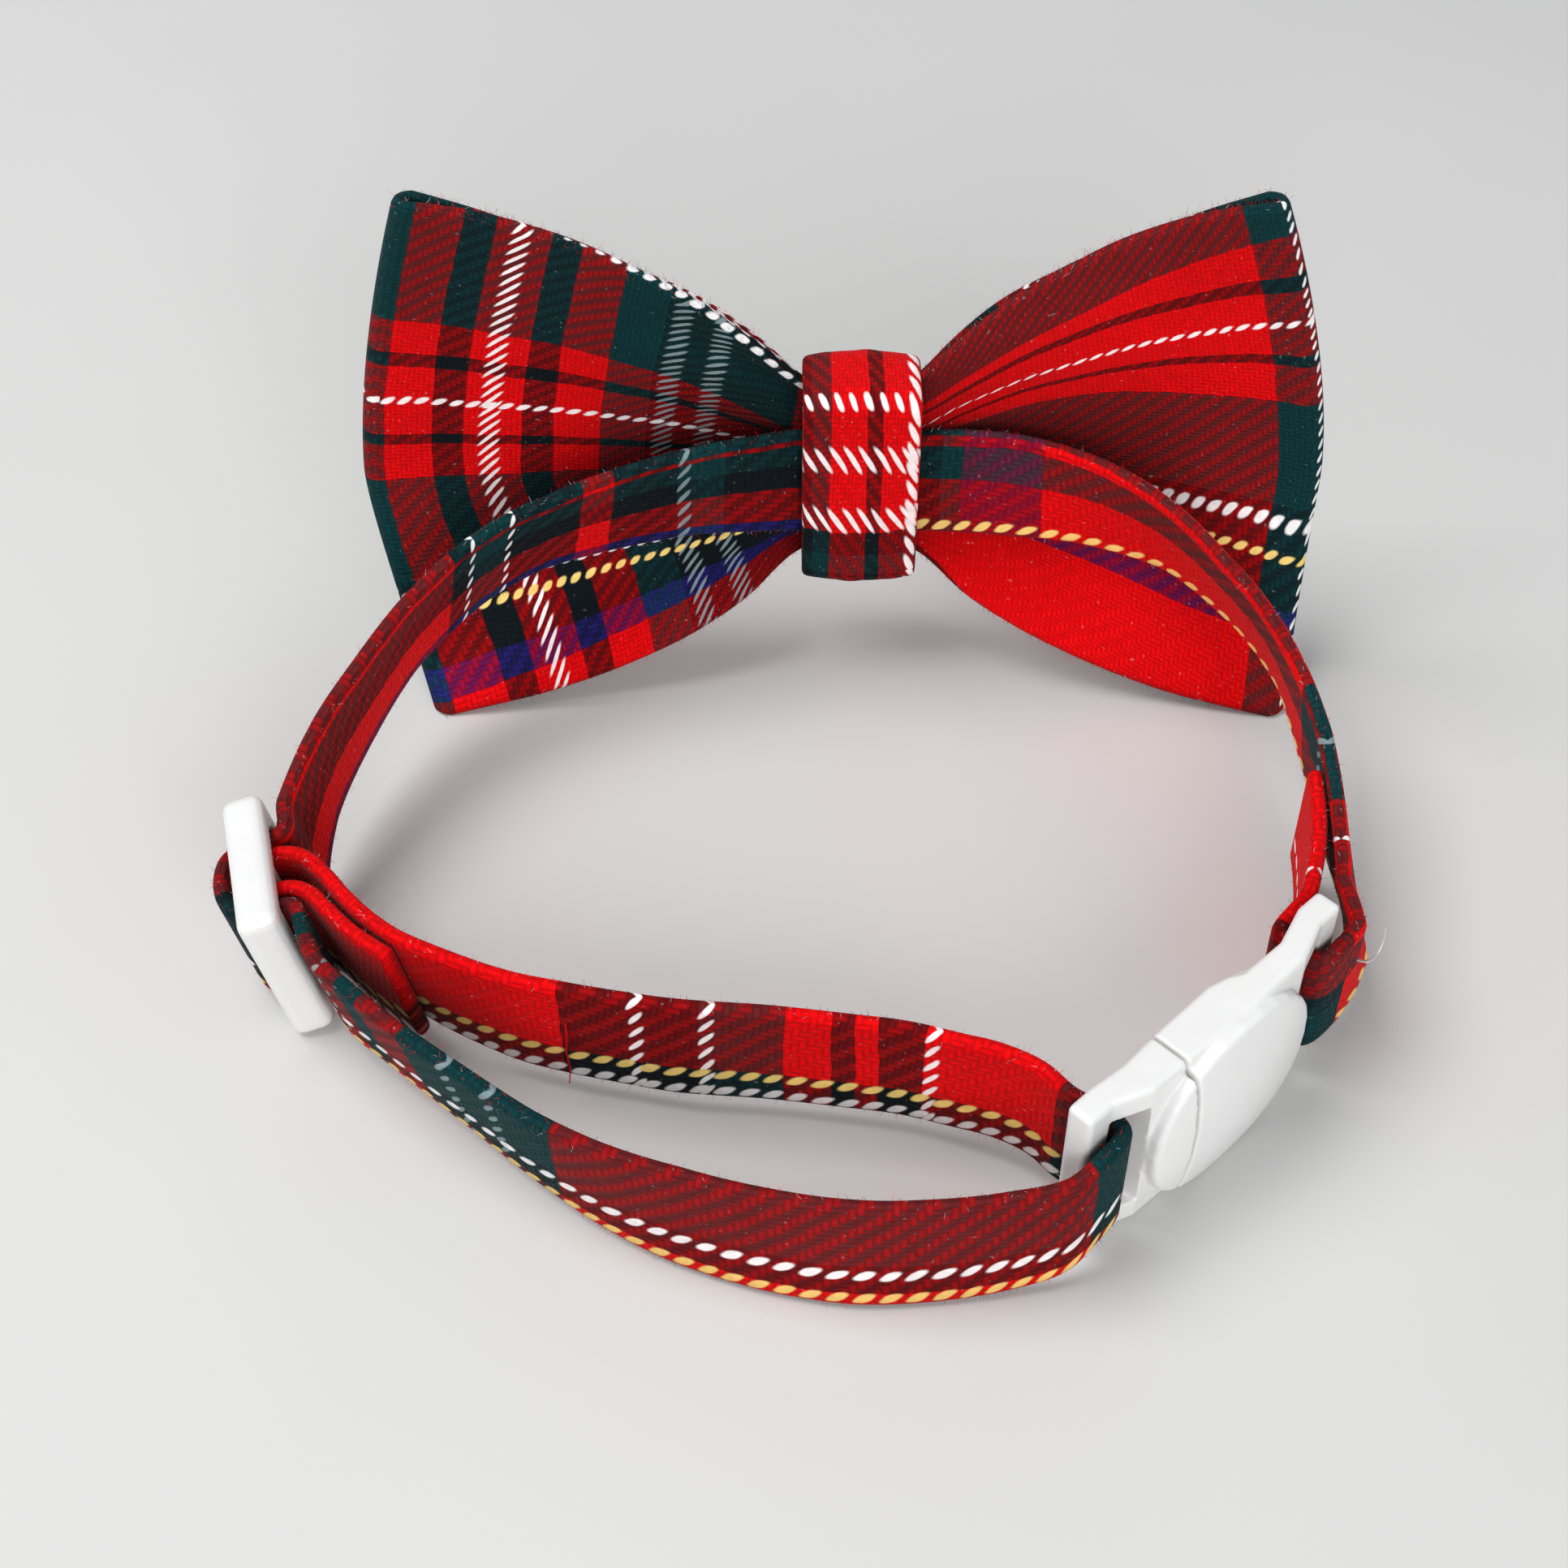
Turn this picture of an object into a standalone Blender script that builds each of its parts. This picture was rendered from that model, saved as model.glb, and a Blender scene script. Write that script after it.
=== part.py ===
"""Pet bow tie collar: a tartan cloth bow gathered under a knot band, on a strap with a
slider and a breakaway buckle. It stands as it is laid down: the bow on the lower corners
of its wings, the loop on the strap's lower edge, the slider and the buckle.

Units are metres, +Z is up. The loop opens towards -Y of the bow, whose front faces +Y.
The origin is the middle of the footprint, on the surface that the collar rests on.
"""

import math

import bpy
import bmesh
from mathutils import Matrix, Vector

MM = 0.001

# Cloth
STRAP_WIDTH = 10.2 * MM
STRAP_THICKNESS = 1.2 * MM
BOW_CLOTH = 1.1 * MM
KNOT_CLOTH = 1.1 * MM
CLEARANCE = 0.3 * MM

# Loop of the collar, between the strap's centre lines
LOOP_WIDTH = 84.0 * MM
LOOP_DEPTH = 65.0 * MM
BUCKLE_END_SEWN = 15.5 * MM
FREE_STEP = 5.0 * MM
FREE_TURN = math.radians(16)

# Bow
WING_LEFT = 40.6 * MM
WING_RIGHT = 38.0 * MM
BOW_HEIGHT = 46.0 * MM
END_FOLD_RADIUS = 0.9 * MM
PLEAT_DEPTH = 0.6 * MM
PLEATS_PER_HALF = 2
BOW_ROWS = 12
FOLD_STEPS = 3

# Knot band
KNOT_WIDTH = 9.5 * MM
KNOT_DEPTH = 9.0 * MM
KNOT_TOP = BOW_HEIGHT * 0.637
KNOT_BOTTOM = BOW_HEIGHT * 0.226
KNOT_BULGE = 0.4 * MM
KNOT_LANES = 4

# Slider
SLIDER_LENGTH = 13.6 * MM
SLIDER_SPAN = 13.4 * MM
SLIDER_THICKNESS = 3.2 * MM
SLIDER_BAR = 2.2 * MM
SLIDER_CENTRE_BAR = 1.8 * MM
SLIDER_CENTRE_THICKNESS = 1.6 * MM
SLIDER_EDGE = 0.9 * MM
SLIDER_LEAN = math.radians(11)
SLIDER_HEADING = math.radians(104)

# Buckle
BUCKLE_LENGTH = 27.4 * MM
BUCKLE_HEIGHT = 15.0 * MM
BUCKLE_BAR = 2.2 * MM
BUCKLE_RING_THICKNESS = 2.1 * MM
BUCKLE_SLOT = 3.1 * MM
BUCKLE_EDGE = 0.35 * MM
BUCKLE_HEADING = math.radians(44.4)
HOUSING_OFFSET = 1.3 * MM
HOUSING_RIM = 4.0 * MM
HOUSING_DOME = 1.1 * MM
HOUSING_SQUARENESS = 0.85
PARTING_SHARE = 0.2
PARTING_GAP = 0.3 * MM
TONGUE_LENGTH = 8.0 * MM
TONGUE_HEIGHT = 7.0 * MM
TONGUE_THICKNESS = 2.4 * MM
HOUSING_RINGS = 5
HOUSING_SPOKES = 32

# Places on the loop, as shares of its width and depth from its middle
KNOT_PLACE = (0.074, 0.497)
SLIDER_PLACE = (-0.454, -0.0525)
BUCKLE_PLACE = (0.232, -0.4292)

# Strap runs between the hardware and the knot. across and along are shares of the loop's
# width and depth, rise is 0 at the height of the hardware's middle and 1 at the knot's
# middle, lean is the tilt in degrees of the upper edge away from the middle of the loop.
RIGHT_REAR_RUN = (
    # across, along, rise, lean
    (0.506, -0.069, 0.01, -17),
    (0.508, 0.008, 0.04, -13),
    (0.506, 0.077, 0.08, -9),
    (0.501, 0.142, 0.16, -7),
    (0.491, 0.215, 0.27, -10),
    (0.469, 0.302, 0.44, -18),
    (0.434, 0.371, 0.58, -21),
    (0.369, 0.446, 0.78, -18),
    (0.298, 0.483, 0.89, -8),
    (0.229, 0.495, 0.96, 1),
    (0.180, 0.497, 0.99, 2),
    (0.138, 0.497, 1.00, 0),
)
LEFT_REAR_RUN = (
    # across, along, rise, lean
    (0.010, 0.497, 1.00, 0),
    (-0.030, 0.489, 1.00, -4),
    (-0.080, 0.478, 1.00, -9),
    (-0.155, 0.461, 0.93, -14),
    (-0.231, 0.434, 0.83, -19),
    (-0.290, 0.397, 0.71, -16),
    (-0.352, 0.323, 0.52, -12),
    (-0.401, 0.215, 0.32, -5),
    (-0.427, 0.129, 0.20, 1),
)
FRONT_OUTER_RUN = (
    # across, along, rise, lean
    (-0.387, -0.183, 0.03, 13),
    (-0.349, -0.228, 0.01, 14),
    (-0.312, -0.268, -0.02, 14),
    (-0.271, -0.308, -0.06, 12),
    (-0.200, -0.377, -0.11, 8),
    (-0.146, -0.418, -0.145, 3),
    (-0.086, -0.451, -0.17, -3),
    (-0.013, -0.480, -0.18, -6),
    (0.055, -0.495, -0.18, -7),
    (0.115, -0.494, -0.18, -6),
    (0.179, -0.486, -0.15, -4),
    (0.229, -0.474, -0.08, -1),
)
FRONT_INNER_RUN = (
    # across, along, rise, lean
    (0.210, -0.337, 0.01, 0),
    (0.179, -0.312, 0.00, 0),
    (0.145, -0.295, -0.02, 0),
    (0.101, -0.277, -0.03, 0),
    (0.054, -0.266, -0.04, 0),
    (-0.014, -0.254, -0.04, 0),
    (-0.092, -0.245, -0.04, 0),
    (-0.137, -0.234, -0.04, 1),
    (-0.190, -0.220, -0.03, 2),
    (-0.238, -0.203, -0.02, 4),
)

# The strap's sewn end at the slider, in shares of the slider's span: along the span
# towards the bow, and outward from the loop. The inner layer runs to the slot, the
# folded layer comes back from it.
SLIDER_INNER_LAYER = (
    # along span, outward
    (-0.768, -0.725),
    (-0.551, -0.572),
    (-0.333, -0.457),
    (-0.130, -0.370),
    (0.036, -0.275),
    (0.116, -0.159),
)
SLIDER_FOLDED_LAYER = (
    # along span, outward
    (-0.152, -0.174),
    (-0.232, -0.272),
    (-0.384, -0.351),
    (-0.616, -0.475),
    (-0.833, -0.630),
)

# The strap's sewn end at the buckle, in shares of its sewn length: past the ring along
# the buckle, and towards the middle of the loop
BUCKLE_SEWN_LAYER = (
    # past the ring, inward
    (0.756, 0.617),
    (0.621, 0.497),
    (0.439, 0.357),
    (0.260, 0.245),
    (0.088, 0.161),
    (-0.034, 0.145),
)

# The buckle's plate seen from above, in shares of the buckle's length from the near ring and
# of its rings' thickness towards the middle of the loop
PLATE_INNER_SIDE = (
    # along, inward
    (0.000, 0.50),
    (0.085, 0.50),
    (0.200, 0.36),
    (0.330, 0.46),
    (0.540, 0.50),
    (0.600, 0.32),
    (0.640, 0.04),
    (0.790, 0.00),
    (0.915, 0.50),
    (1.000, 0.50),
)
PLATE_OUTER_SIDE = (
    # along, inward
    (0.000, -0.50),
    (0.085, -0.50),
    (0.190, -1.04),
    (0.500, -1.18),
    (0.790, -1.07),
    (0.915, -0.50),
    (1.000, -0.50),
)

# The bow's edges along a wing, from the knot to the end fold. Heights and depths are
# shares of the bow's height: the two edges above the surface, how far the valley sets
# back, how far the upper and the lower edge come forward of it, how far the two panels
# stand apart, how far the front panel's upper edge drops, and the share of the pleat
# depth that is left.
WING_PROFILE = (
    # reach, upper, lower, setback, upper lobe, lower lobe, panels apart, front drop, pleats
    (0.00, 0.560, 0.270, 0.000, 0.012, 0.012, 0.038, 0.050, 1.00),
    (0.08, 0.568, 0.260, 0.002, 0.014, 0.020, 0.038, 0.046, 0.95),
    (0.16, 0.606, 0.240, 0.006, 0.018, 0.044, 0.044, 0.034, 0.80),
    (0.26, 0.676, 0.186, 0.010, 0.022, 0.095, 0.050, 0.026, 0.55),
    (0.38, 0.756, 0.134, 0.014, 0.026, 0.128, 0.050, 0.028, 0.32),
    (0.50, 0.816, 0.092, 0.018, 0.029, 0.152, 0.046, 0.032, 0.16),
    (0.63, 0.872, 0.054, 0.020, 0.031, 0.172, 0.042, 0.034, 0.07),
    (0.76, 0.912, 0.026, 0.020, 0.033, 0.190, 0.038, 0.030, 0.02),
    (0.88, 0.942, 0.012, 0.018, 0.038, 0.206, 0.035, 0.018, 0.00),
    (1.00, 0.962, -0.004, 0.015, 0.044, 0.216, 0.032, 0.000, 0.00),
)

# How far each corner of a wing falls short of the wing's reach, as shares of it
LEFT_END_CORNERS = {"upper": 0.135, "lower": 0.120}
RIGHT_END_CORNERS = {"upper": 0.180, "lower": 0.050}
END_WIDEST_ROW = -0.2
END_ROUNDNESS = 1.5
LOBE_ROUNDNESS = 2.1

# Sizes that follow
REST_HEIGHT = BUCKLE_HEIGHT / 2
KNOT_MIDDLE = (KNOT_TOP + KNOT_BOTTOM) / 2
WRAP = CLEARANCE + STRAP_THICKNESS / 2
LAYER_PITCH = STRAP_THICKNESS + CLEARANCE
SLOT_LENGTH = STRAP_WIDTH + 2 * CLEARANCE


def clear_scene():
    for obj in list(bpy.data.objects):
        bpy.data.objects.remove(obj, do_unlink=True)


def make_material(name, colour, roughness, metallic=0.0):
    material = bpy.data.materials.new(name)
    material.use_nodes = True
    shader = material.node_tree.nodes["Principled BSDF"]
    shader.inputs["Base Color"].default_value = (*colour, 1.0)
    shader.inputs["Roughness"].default_value = roughness
    shader.inputs["Metallic"].default_value = metallic
    return material


def add_object(name, bm, material=None, parent=None):
    """Turn a bmesh into an object of its own and close the bmesh."""
    mesh = bpy.data.meshes.new(name)
    bmesh.ops.recalc_face_normals(bm, faces=bm.faces)
    bm.to_mesh(mesh)
    bm.free()
    obj = bpy.data.objects.new(name, mesh)
    bpy.context.collection.objects.link(obj)
    if material is not None:
        mesh.materials.append(material)
    obj.parent = parent
    return obj


def smooth(obj, angle=math.radians(40)):
    obj.data.shade_smooth()
    obj.data.set_sharp_from_angle(angle=angle)


def as_guide(obj):
    """Mark a cutter or a piece that only joins another: it is no part of its own."""
    obj.hide_render = True
    obj.display_type = "WIRE"


def boolean(obj, tool, operation):
    modifier = obj.modifiers.new(operation.title(), "BOOLEAN")
    modifier.operation = operation
    modifier.solver = "EXACT"
    modifier.object = tool
    as_guide(tool)


def bevel(obj, width, segments=2):
    modifier = obj.modifiers.new("Bevel", "BEVEL")
    modifier.width = width
    modifier.segments = segments
    modifier.limit_method = "ANGLE"
    modifier.angle_limit = math.radians(40)


def add_box(name, low, high, material=None, parent=None):
    bm = bmesh.new()
    middle = (Vector(low) + Vector(high)) / 2
    size = Vector(high) - Vector(low)
    bmesh.ops.create_cube(bm, size=1.0, matrix=Matrix.Translation(middle) @ Matrix.Diagonal((*size, 1.0)))
    return add_object(name, bm, material, parent)


def interpolate(table, key, column):
    """Read a column of a table at a key between its rows, along a smooth curve."""
    rows = list(table)
    last = len(rows) - 1
    index = 0
    while index < last - 1 and key > rows[index + 1][0]:
        index += 1
    start, end = rows[index], rows[index + 1]
    before = rows[max(index - 1, 0)]
    after = rows[min(index + 2, last)]
    span = end[0] - start[0]
    share = (key - start[0]) / span
    slope_in = (end[column] - before[column]) / (end[0] - before[0])
    slope_out = (after[column] - start[column]) / (after[0] - start[0])
    cube, square = share ** 3, share ** 2
    return (
        (2 * cube - 3 * square + 1) * start[column]
        + (cube - 2 * square + share) * span * slope_in
        + (3 * square - 2 * cube) * end[column]
        + (cube - square) * span * slope_out
    )


def loop_point(across, along, height):
    return Vector((across * LOOP_WIDTH, along * LOOP_DEPTH, height))


def slider_frame():
    """The slider's own axes: X along its span towards the bow, Y outward, Z up its lean."""
    up_share = math.cos(SLIDER_LEAN) * SLIDER_LENGTH / 2
    foot_share = math.sin(SLIDER_LEAN) * SLIDER_THICKNESS / 2
    place = loop_point(*SLIDER_PLACE, up_share + foot_share)
    return (
        Matrix.Translation(place)
        @ Matrix.Rotation(SLIDER_HEADING, 4, "Z")
        @ Matrix.Rotation(-SLIDER_LEAN, 4, "X")
    )


def buckle_frame():
    """The buckle's own axes: X along it, Y towards the loop's middle, Z up, from mid-height."""
    return Matrix.Translation(loop_point(*BUCKLE_PLACE, REST_HEIGHT)) @ Matrix.Rotation(
        BUCKLE_HEADING, 4, "Z"
    )


def free_rows(table):
    """Centre points and upward directions of the strap along a run from its table."""
    rows = []
    for across, along, rise, lean in table:
        height = REST_HEIGHT + rise * (KNOT_MIDDLE - REST_HEIGHT)
        lowest = STRAP_WIDTH / 2 * math.cos(math.radians(lean)) + STRAP_THICKNESS / 2 * abs(
            math.sin(math.radians(lean))
        )
        point = loop_point(across, along, max(height, lowest))
        outward = Vector((point.x, point.y, 0.0)).normalized()
        tilt = math.tan(math.radians(lean))
        rows.append((point, (Vector((0.0, 0.0, 1.0)) + outward * tilt).normalized()))
    return rows


def framed_rows(frame, points):
    """Rows of a run that is set by a piece of hardware, from points in its own axes."""
    up = (frame.to_3x3() @ Vector((0.0, 0.0, 1.0))).normalized()
    return [(frame @ Vector((x, y, 0.0)), up.copy()) for x, y in points]


def arc(corner, radius, degrees):
    """Points round a corner at a radius, at the given angles."""
    return [
        (corner[0] + radius * math.cos(math.radians(a)), corner[1] + radius * math.sin(math.radians(a)))
        for a in degrees
    ]


def slider_corners():
    """Corners of the slider's bars that the strap turns round, in the slider's axes."""
    slot_wall = SLIDER_SPAN / 2 - SLIDER_BAR
    inner_face = -SLIDER_THICKNESS / 2
    centre_half = SLIDER_CENTRE_BAR / 2
    centre_face = inner_face + CLEARANCE + SLIDER_CENTRE_THICKNESS
    return slot_wall, inner_face, centre_half, centre_face


def over_slider():
    """The strap over the slider: in through the far slot, over the bar, out again."""
    slot_wall, inner_face, centre_half, centre_face = slider_corners()
    reach = SLIDER_SPAN / 2
    approach = inner_face - WRAP - CLEARANCE
    over = WRAP + LAYER_PITCH
    far = [(reach, approach)] + arc((slot_wall, inner_face), WRAP + CLEARANCE / 3, (-90, -135, -180))
    crown = arc((centre_half, centre_face), over, (0, 45, 90)) + arc(
        (-centre_half, centre_face), over, (90, 135, 180)
    )
    near = arc((-slot_wall, inner_face), WRAP + CLEARANCE / 3, (0, -45, -90)) + [(-reach, approach)]
    return far + crown + near


def round_slider_bar():
    """The strap's sewn end: up the inner layer, round the centre bar, back beside it."""
    _, _, centre_half, centre_face = slider_corners()
    there = [(x * SLIDER_SPAN, y * SLIDER_SPAN) for x, y in SLIDER_INNER_LAYER]
    turn = arc((centre_half, centre_face), WRAP, (-20, 45, 90)) + arc(
        (-centre_half, centre_face), WRAP, (90, 135, 200)
    )
    back = [(x * SLIDER_SPAN, y * SLIDER_SPAN) for x, y in SLIDER_FOLDED_LAYER]
    return there + turn + back


def ring_edges():
    """Where the rings' end bars and slots lie along the buckle."""
    near_bar = (0.0, BUCKLE_BAR)
    far_bar = (BUCKLE_LENGTH - BUCKLE_BAR, BUCKLE_LENGTH)
    return near_bar, far_bar


def through_near_ring():
    """The strap round the near ring's end bar, from the outer side into the slot."""
    near_bar, _ = ring_edges()
    face = BUCKLE_RING_THICKNESS / 2
    outer = face + WRAP + CLEARANCE
    slot_middle = near_bar[1] + WRAP
    return [
        (near_bar[0] + CLEARANCE, -outer),
        *arc((near_bar[1], -face), WRAP + CLEARANCE / 3, (-90, -45, 0)),
        (slot_middle, face),
        (slot_middle - CLEARANCE, face + 2 * WRAP),
    ]


def through_far_ring():
    """The sewn fold round the far ring's end bar, from the inner side to the outer side."""
    _, far_bar = ring_edges()
    face = BUCKLE_RING_THICKNESS / 2
    loose = WRAP + CLEARANCE / 3
    outer_face = face + loose
    sewn = [
        (far_bar[1] + BUCKLE_END_SEWN * along, BUCKLE_END_SEWN * inward)
        for along, inward in BUCKLE_SEWN_LAYER
    ]
    slot = arc((far_bar[0], face), loose, (90, 135, 180)) + arc((far_bar[0], -face), loose, (180, 225, 270))
    outer = [
        (far_bar[1], -outer_face),
        (far_bar[1] + 2 * WRAP, -outer_face + CLEARANCE),
    ]
    return sewn + slot + outer


def strap_rows():
    """The whole strap from its sewn end at the buckle to its sewn end at the slider."""
    slider = slider_frame()
    buckle = buckle_frame()
    knot = loop_point(*KNOT_PLACE, KNOT_MIDDLE)
    upright = Vector((0.0, 0.0, 1.0))
    return (
        framed_rows(buckle, through_far_ring())
        + free_rows(RIGHT_REAR_RUN)
        + [(knot, upright)]
        + free_rows(LEFT_REAR_RUN)
        + framed_rows(slider, over_slider())
        + free_rows(FRONT_OUTER_RUN)
        + framed_rows(buckle, through_near_ring())
        + free_rows(FRONT_INNER_RUN)
        + framed_rows(slider, round_slider_bar())
    )


def curve_through(rows, per_span=12):
    """A smooth curve through the rows, as many points with their upward directions."""
    points = [row[0] for row in rows]
    ups = [row[1] for row in rows]
    count = len(points)
    curve = []
    for i in range(count - 1):
        p1, p2 = points[i], points[i + 1]
        p0 = points[i - 1] if i > 0 else 2 * p1 - p2
        p3 = points[i + 2] if i + 2 < count else 2 * p2 - p1
        t0 = 0.0
        t1 = t0 + math.sqrt((p1 - p0).length)
        t2 = t1 + math.sqrt((p2 - p1).length)
        t3 = t2 + math.sqrt((p3 - p2).length)
        for step in range(per_span + (i == count - 2)):
            share = step / per_span
            t = t1 + (t2 - t1) * share
            a1 = p0 * ((t1 - t) / (t1 - t0)) + p1 * ((t - t0) / (t1 - t0))
            a2 = p1 * ((t2 - t) / (t2 - t1)) + p2 * ((t - t1) / (t2 - t1))
            a3 = p2 * ((t3 - t) / (t3 - t2)) + p3 * ((t - t2) / (t3 - t2))
            b1 = a1 * ((t2 - t) / (t2 - t0)) + a2 * ((t - t0) / (t2 - t0))
            b2 = a2 * ((t3 - t) / (t3 - t1)) + a3 * ((t - t1) / (t3 - t1))
            point = b1 * ((t2 - t) / (t2 - t1)) + b2 * ((t - t1) / (t2 - t1))
            curve.append((point, ups[i].lerp(ups[i + 1], share).normalized()))
    return curve


def thin_out(curve, step, turn):
    """Keep the points of a curve where it has gone a step or turned by an angle."""
    kept = [curve[0]]
    heading = (curve[1][0] - curve[0][0]).normalized()
    for i in range(1, len(curve) - 1):
        ahead = (curve[i + 1][0] - curve[i][0]).normalized()
        far_enough = (curve[i][0] - kept[-1][0]).length >= step
        if far_enough or heading.angle(ahead, 0.0) >= turn:
            kept.append(curve[i])
            heading = ahead
    kept.append(curve[-1])
    return kept


def strap_section(width, thickness):
    """Half the strap's section turned full circle: flat faces and folded, rounded edges."""
    half, edge = thickness / 2, width / 2
    shoulder = edge - half
    return [(half, -shoulder), (half, shoulder), (0.0, edge), (-half, shoulder), (-half, -shoulder), (0.0, -edge)]


def add_strap(material, parent):
    stations = thin_out(curve_through(strap_rows()), FREE_STEP, FREE_TURN)
    section = strap_section(STRAP_WIDTH, STRAP_THICKNESS)
    bm = bmesh.new()
    rings = []
    for i, (point, up) in enumerate(stations):
        ahead = stations[min(i + 1, len(stations) - 1)][0] - stations[max(i - 1, 0)][0]
        side = ahead.cross(up).normalized()
        rings.append([bm.verts.new(point + side * across + up * rise) for across, rise in section])
    count = len(section)
    for ring, following in zip(rings, rings[1:]):
        for k in range(count):
            bm.faces.new((ring[k], ring[(k + 1) % count], following[(k + 1) % count], following[k]))
    bm.faces.new(list(reversed(rings[0])))
    bm.faces.new(rings[-1])
    strap = add_object("collar_strap", bm, material, parent)
    smooth(strap, math.radians(50))
    return strap


def end_reach(row, corners):
    """How far a wing reaches at a height row, from -1 at the lower edge to 1 at the upper."""
    if row > END_WIDEST_ROW:
        share = (row - END_WIDEST_ROW) / (1 - END_WIDEST_ROW)
        return 1 - corners["upper"] * share ** END_ROUNDNESS
    share = (END_WIDEST_ROW - row) / (1 + END_WIDEST_ROW)
    return 1 - corners["lower"] * share ** END_ROUNDNESS


def bow_point(side, reach, row, panel):
    """A point on a panel of the bow: side -1 or 1, reach 0 to 1, row -1 to 1, panel 0 or 1."""
    length, corners = (WING_LEFT, LEFT_END_CORNERS) if side < 0 else (WING_RIGHT, RIGHT_END_CORNERS)
    upper, lower, setback, upper_lobe, lower_lobe, apart, drop, pleats = (
        interpolate(WING_PROFILE, reach, column) for column in range(1, 9)
    )
    upper -= drop * panel
    height = BOW_HEIGHT * (lower + (upper - lower) * (row + 1) / 2)
    lobe = upper_lobe * max(row, 0.0) ** LOBE_ROUNDNESS + lower_lobe * max(-row, 0.0) ** LOBE_ROUNDNESS
    pleat = PLEAT_DEPTH * pleats * math.cos(PLEATS_PER_HALF * math.pi * row)
    depth = BOW_HEIGHT * (setback - lobe + apart * panel) + pleat
    across = side * (length * end_reach(row, corners) - END_FOLD_RADIUS) * reach
    knot = loop_point(*KNOT_PLACE, 0.0)
    strap_far_face = STRAP_THICKNESS / 2 + CLEARANCE
    back = knot.y + strap_far_face + BOW_CLOTH / 2 + PLEAT_DEPTH + CLEARANCE
    return Vector((knot.x + across, back + depth, height + BOW_CLOTH / 2))


def end_fold(side, row, step):
    """A point on the fold that joins the panels at a wing's end."""
    near = bow_point(side, 1.0, row, 0)
    far = bow_point(side, 1.0, row, 1)
    angle = math.pi * step / FOLD_STEPS
    middle = (near + far) / 2
    radius = (far.y - near.y) / 2
    return middle + Vector((side * END_FOLD_RADIUS * math.sin(angle), -radius * math.cos(angle), 0.0))


def add_bow(material, parent):
    """One band of doubled cloth, folded at both ends and gathered in its middle."""
    reaches = [entry[0] for entry in WING_PROFILE]
    rows = [-1 + 2 * i / BOW_ROWS for i in range(BOW_ROWS + 1)]
    outward, inward = reaches[:-1], list(reversed(reaches))[:-1]
    folds = range(FOLD_STEPS)
    columns = [[bow_point(-1, r, w, 0) for w in rows] for r in outward]
    columns += [[end_fold(-1, w, k) for w in rows] for k in folds]
    columns += [[bow_point(-1, r, w, 1) for w in rows] for r in inward]
    columns += [[bow_point(1, r, w, 1) for w in rows] for r in outward]
    columns += [[end_fold(1, w, FOLD_STEPS - k) for w in rows] for k in folds]
    columns += [[bow_point(1, r, w, 0) for w in rows] for r in inward]
    bm = bmesh.new()
    grid = [[bm.verts.new(point) for point in column] for column in columns]
    for i, column in enumerate(grid):
        following = grid[(i + 1) % len(grid)]
        for k in range(BOW_ROWS):
            bm.faces.new((column[k], column[k + 1], following[k + 1], following[k]))
    bow = add_object("bow", bm, material, parent)
    thicken(bow, BOW_CLOTH)
    smooth(bow)
    return bow


def thicken(obj, thickness):
    modifier = obj.modifiers.new("Solidify", "SOLIDIFY")
    modifier.thickness = thickness
    modifier.offset = 0.0
    modifier.use_even_offset = True
    modifier.use_rim = True


def knot_outline():
    """The band's middle line round the bow and the strap, as depth and height."""
    inset = KNOT_CLOTH / 2
    depth, rise = KNOT_DEPTH - KNOT_CLOTH, KNOT_TOP - KNOT_BOTTOM - KNOT_CLOTH
    corners = (
        # depth, height, radius share of the depth, first angle in degrees
        (0.0, 0.0, 0.14, 180),
        (1.0, 0.0, 0.16, 270),
        (1.0, 1.0, 0.45, 0),
        (0.0, 1.0, 0.12, 90),
    )
    outline = []
    for at_depth, at_height, share, first in corners:
        radius = share * depth
        middle = (
            inset + at_depth * depth + (radius if at_depth == 0.0 else -radius),
            KNOT_BOTTOM + inset + at_height * rise + (radius if at_height == 0.0 else -radius),
        )
        outline += arc(middle, radius, (first, first + 30, first + 60, first + 90))
    return outline


def add_knot_band(material, parent):
    knot = loop_point(*KNOT_PLACE, 0.0)
    front = knot.y - STRAP_THICKNESS / 2 - CLEARANCE - KNOT_CLOTH
    outline = knot_outline()
    middle_depth = KNOT_DEPTH / 2
    bm = bmesh.new()
    lanes = []
    for lane in range(KNOT_LANES + 1):
        share = 2 * lane / KNOT_LANES - 1
        bulge = KNOT_BULGE * (1 - share ** 2)
        ring = []
        for depth, height in outline:
            out = Vector((0.0, depth - middle_depth, height - KNOT_MIDDLE)).normalized() * bulge
            place = Vector((knot.x + share * KNOT_WIDTH / 2, front + depth, height))
            ring.append(bm.verts.new(place + out))
        lanes.append(ring)
    count = len(outline)
    for ring, following in zip(lanes, lanes[1:]):
        for k in range(count):
            bm.faces.new((ring[k], ring[(k + 1) % count], following[(k + 1) % count], following[k]))
    band = add_object("knot_band", bm, material, parent)
    thicken(band, KNOT_CLOTH)
    smooth(band)
    return band


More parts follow.
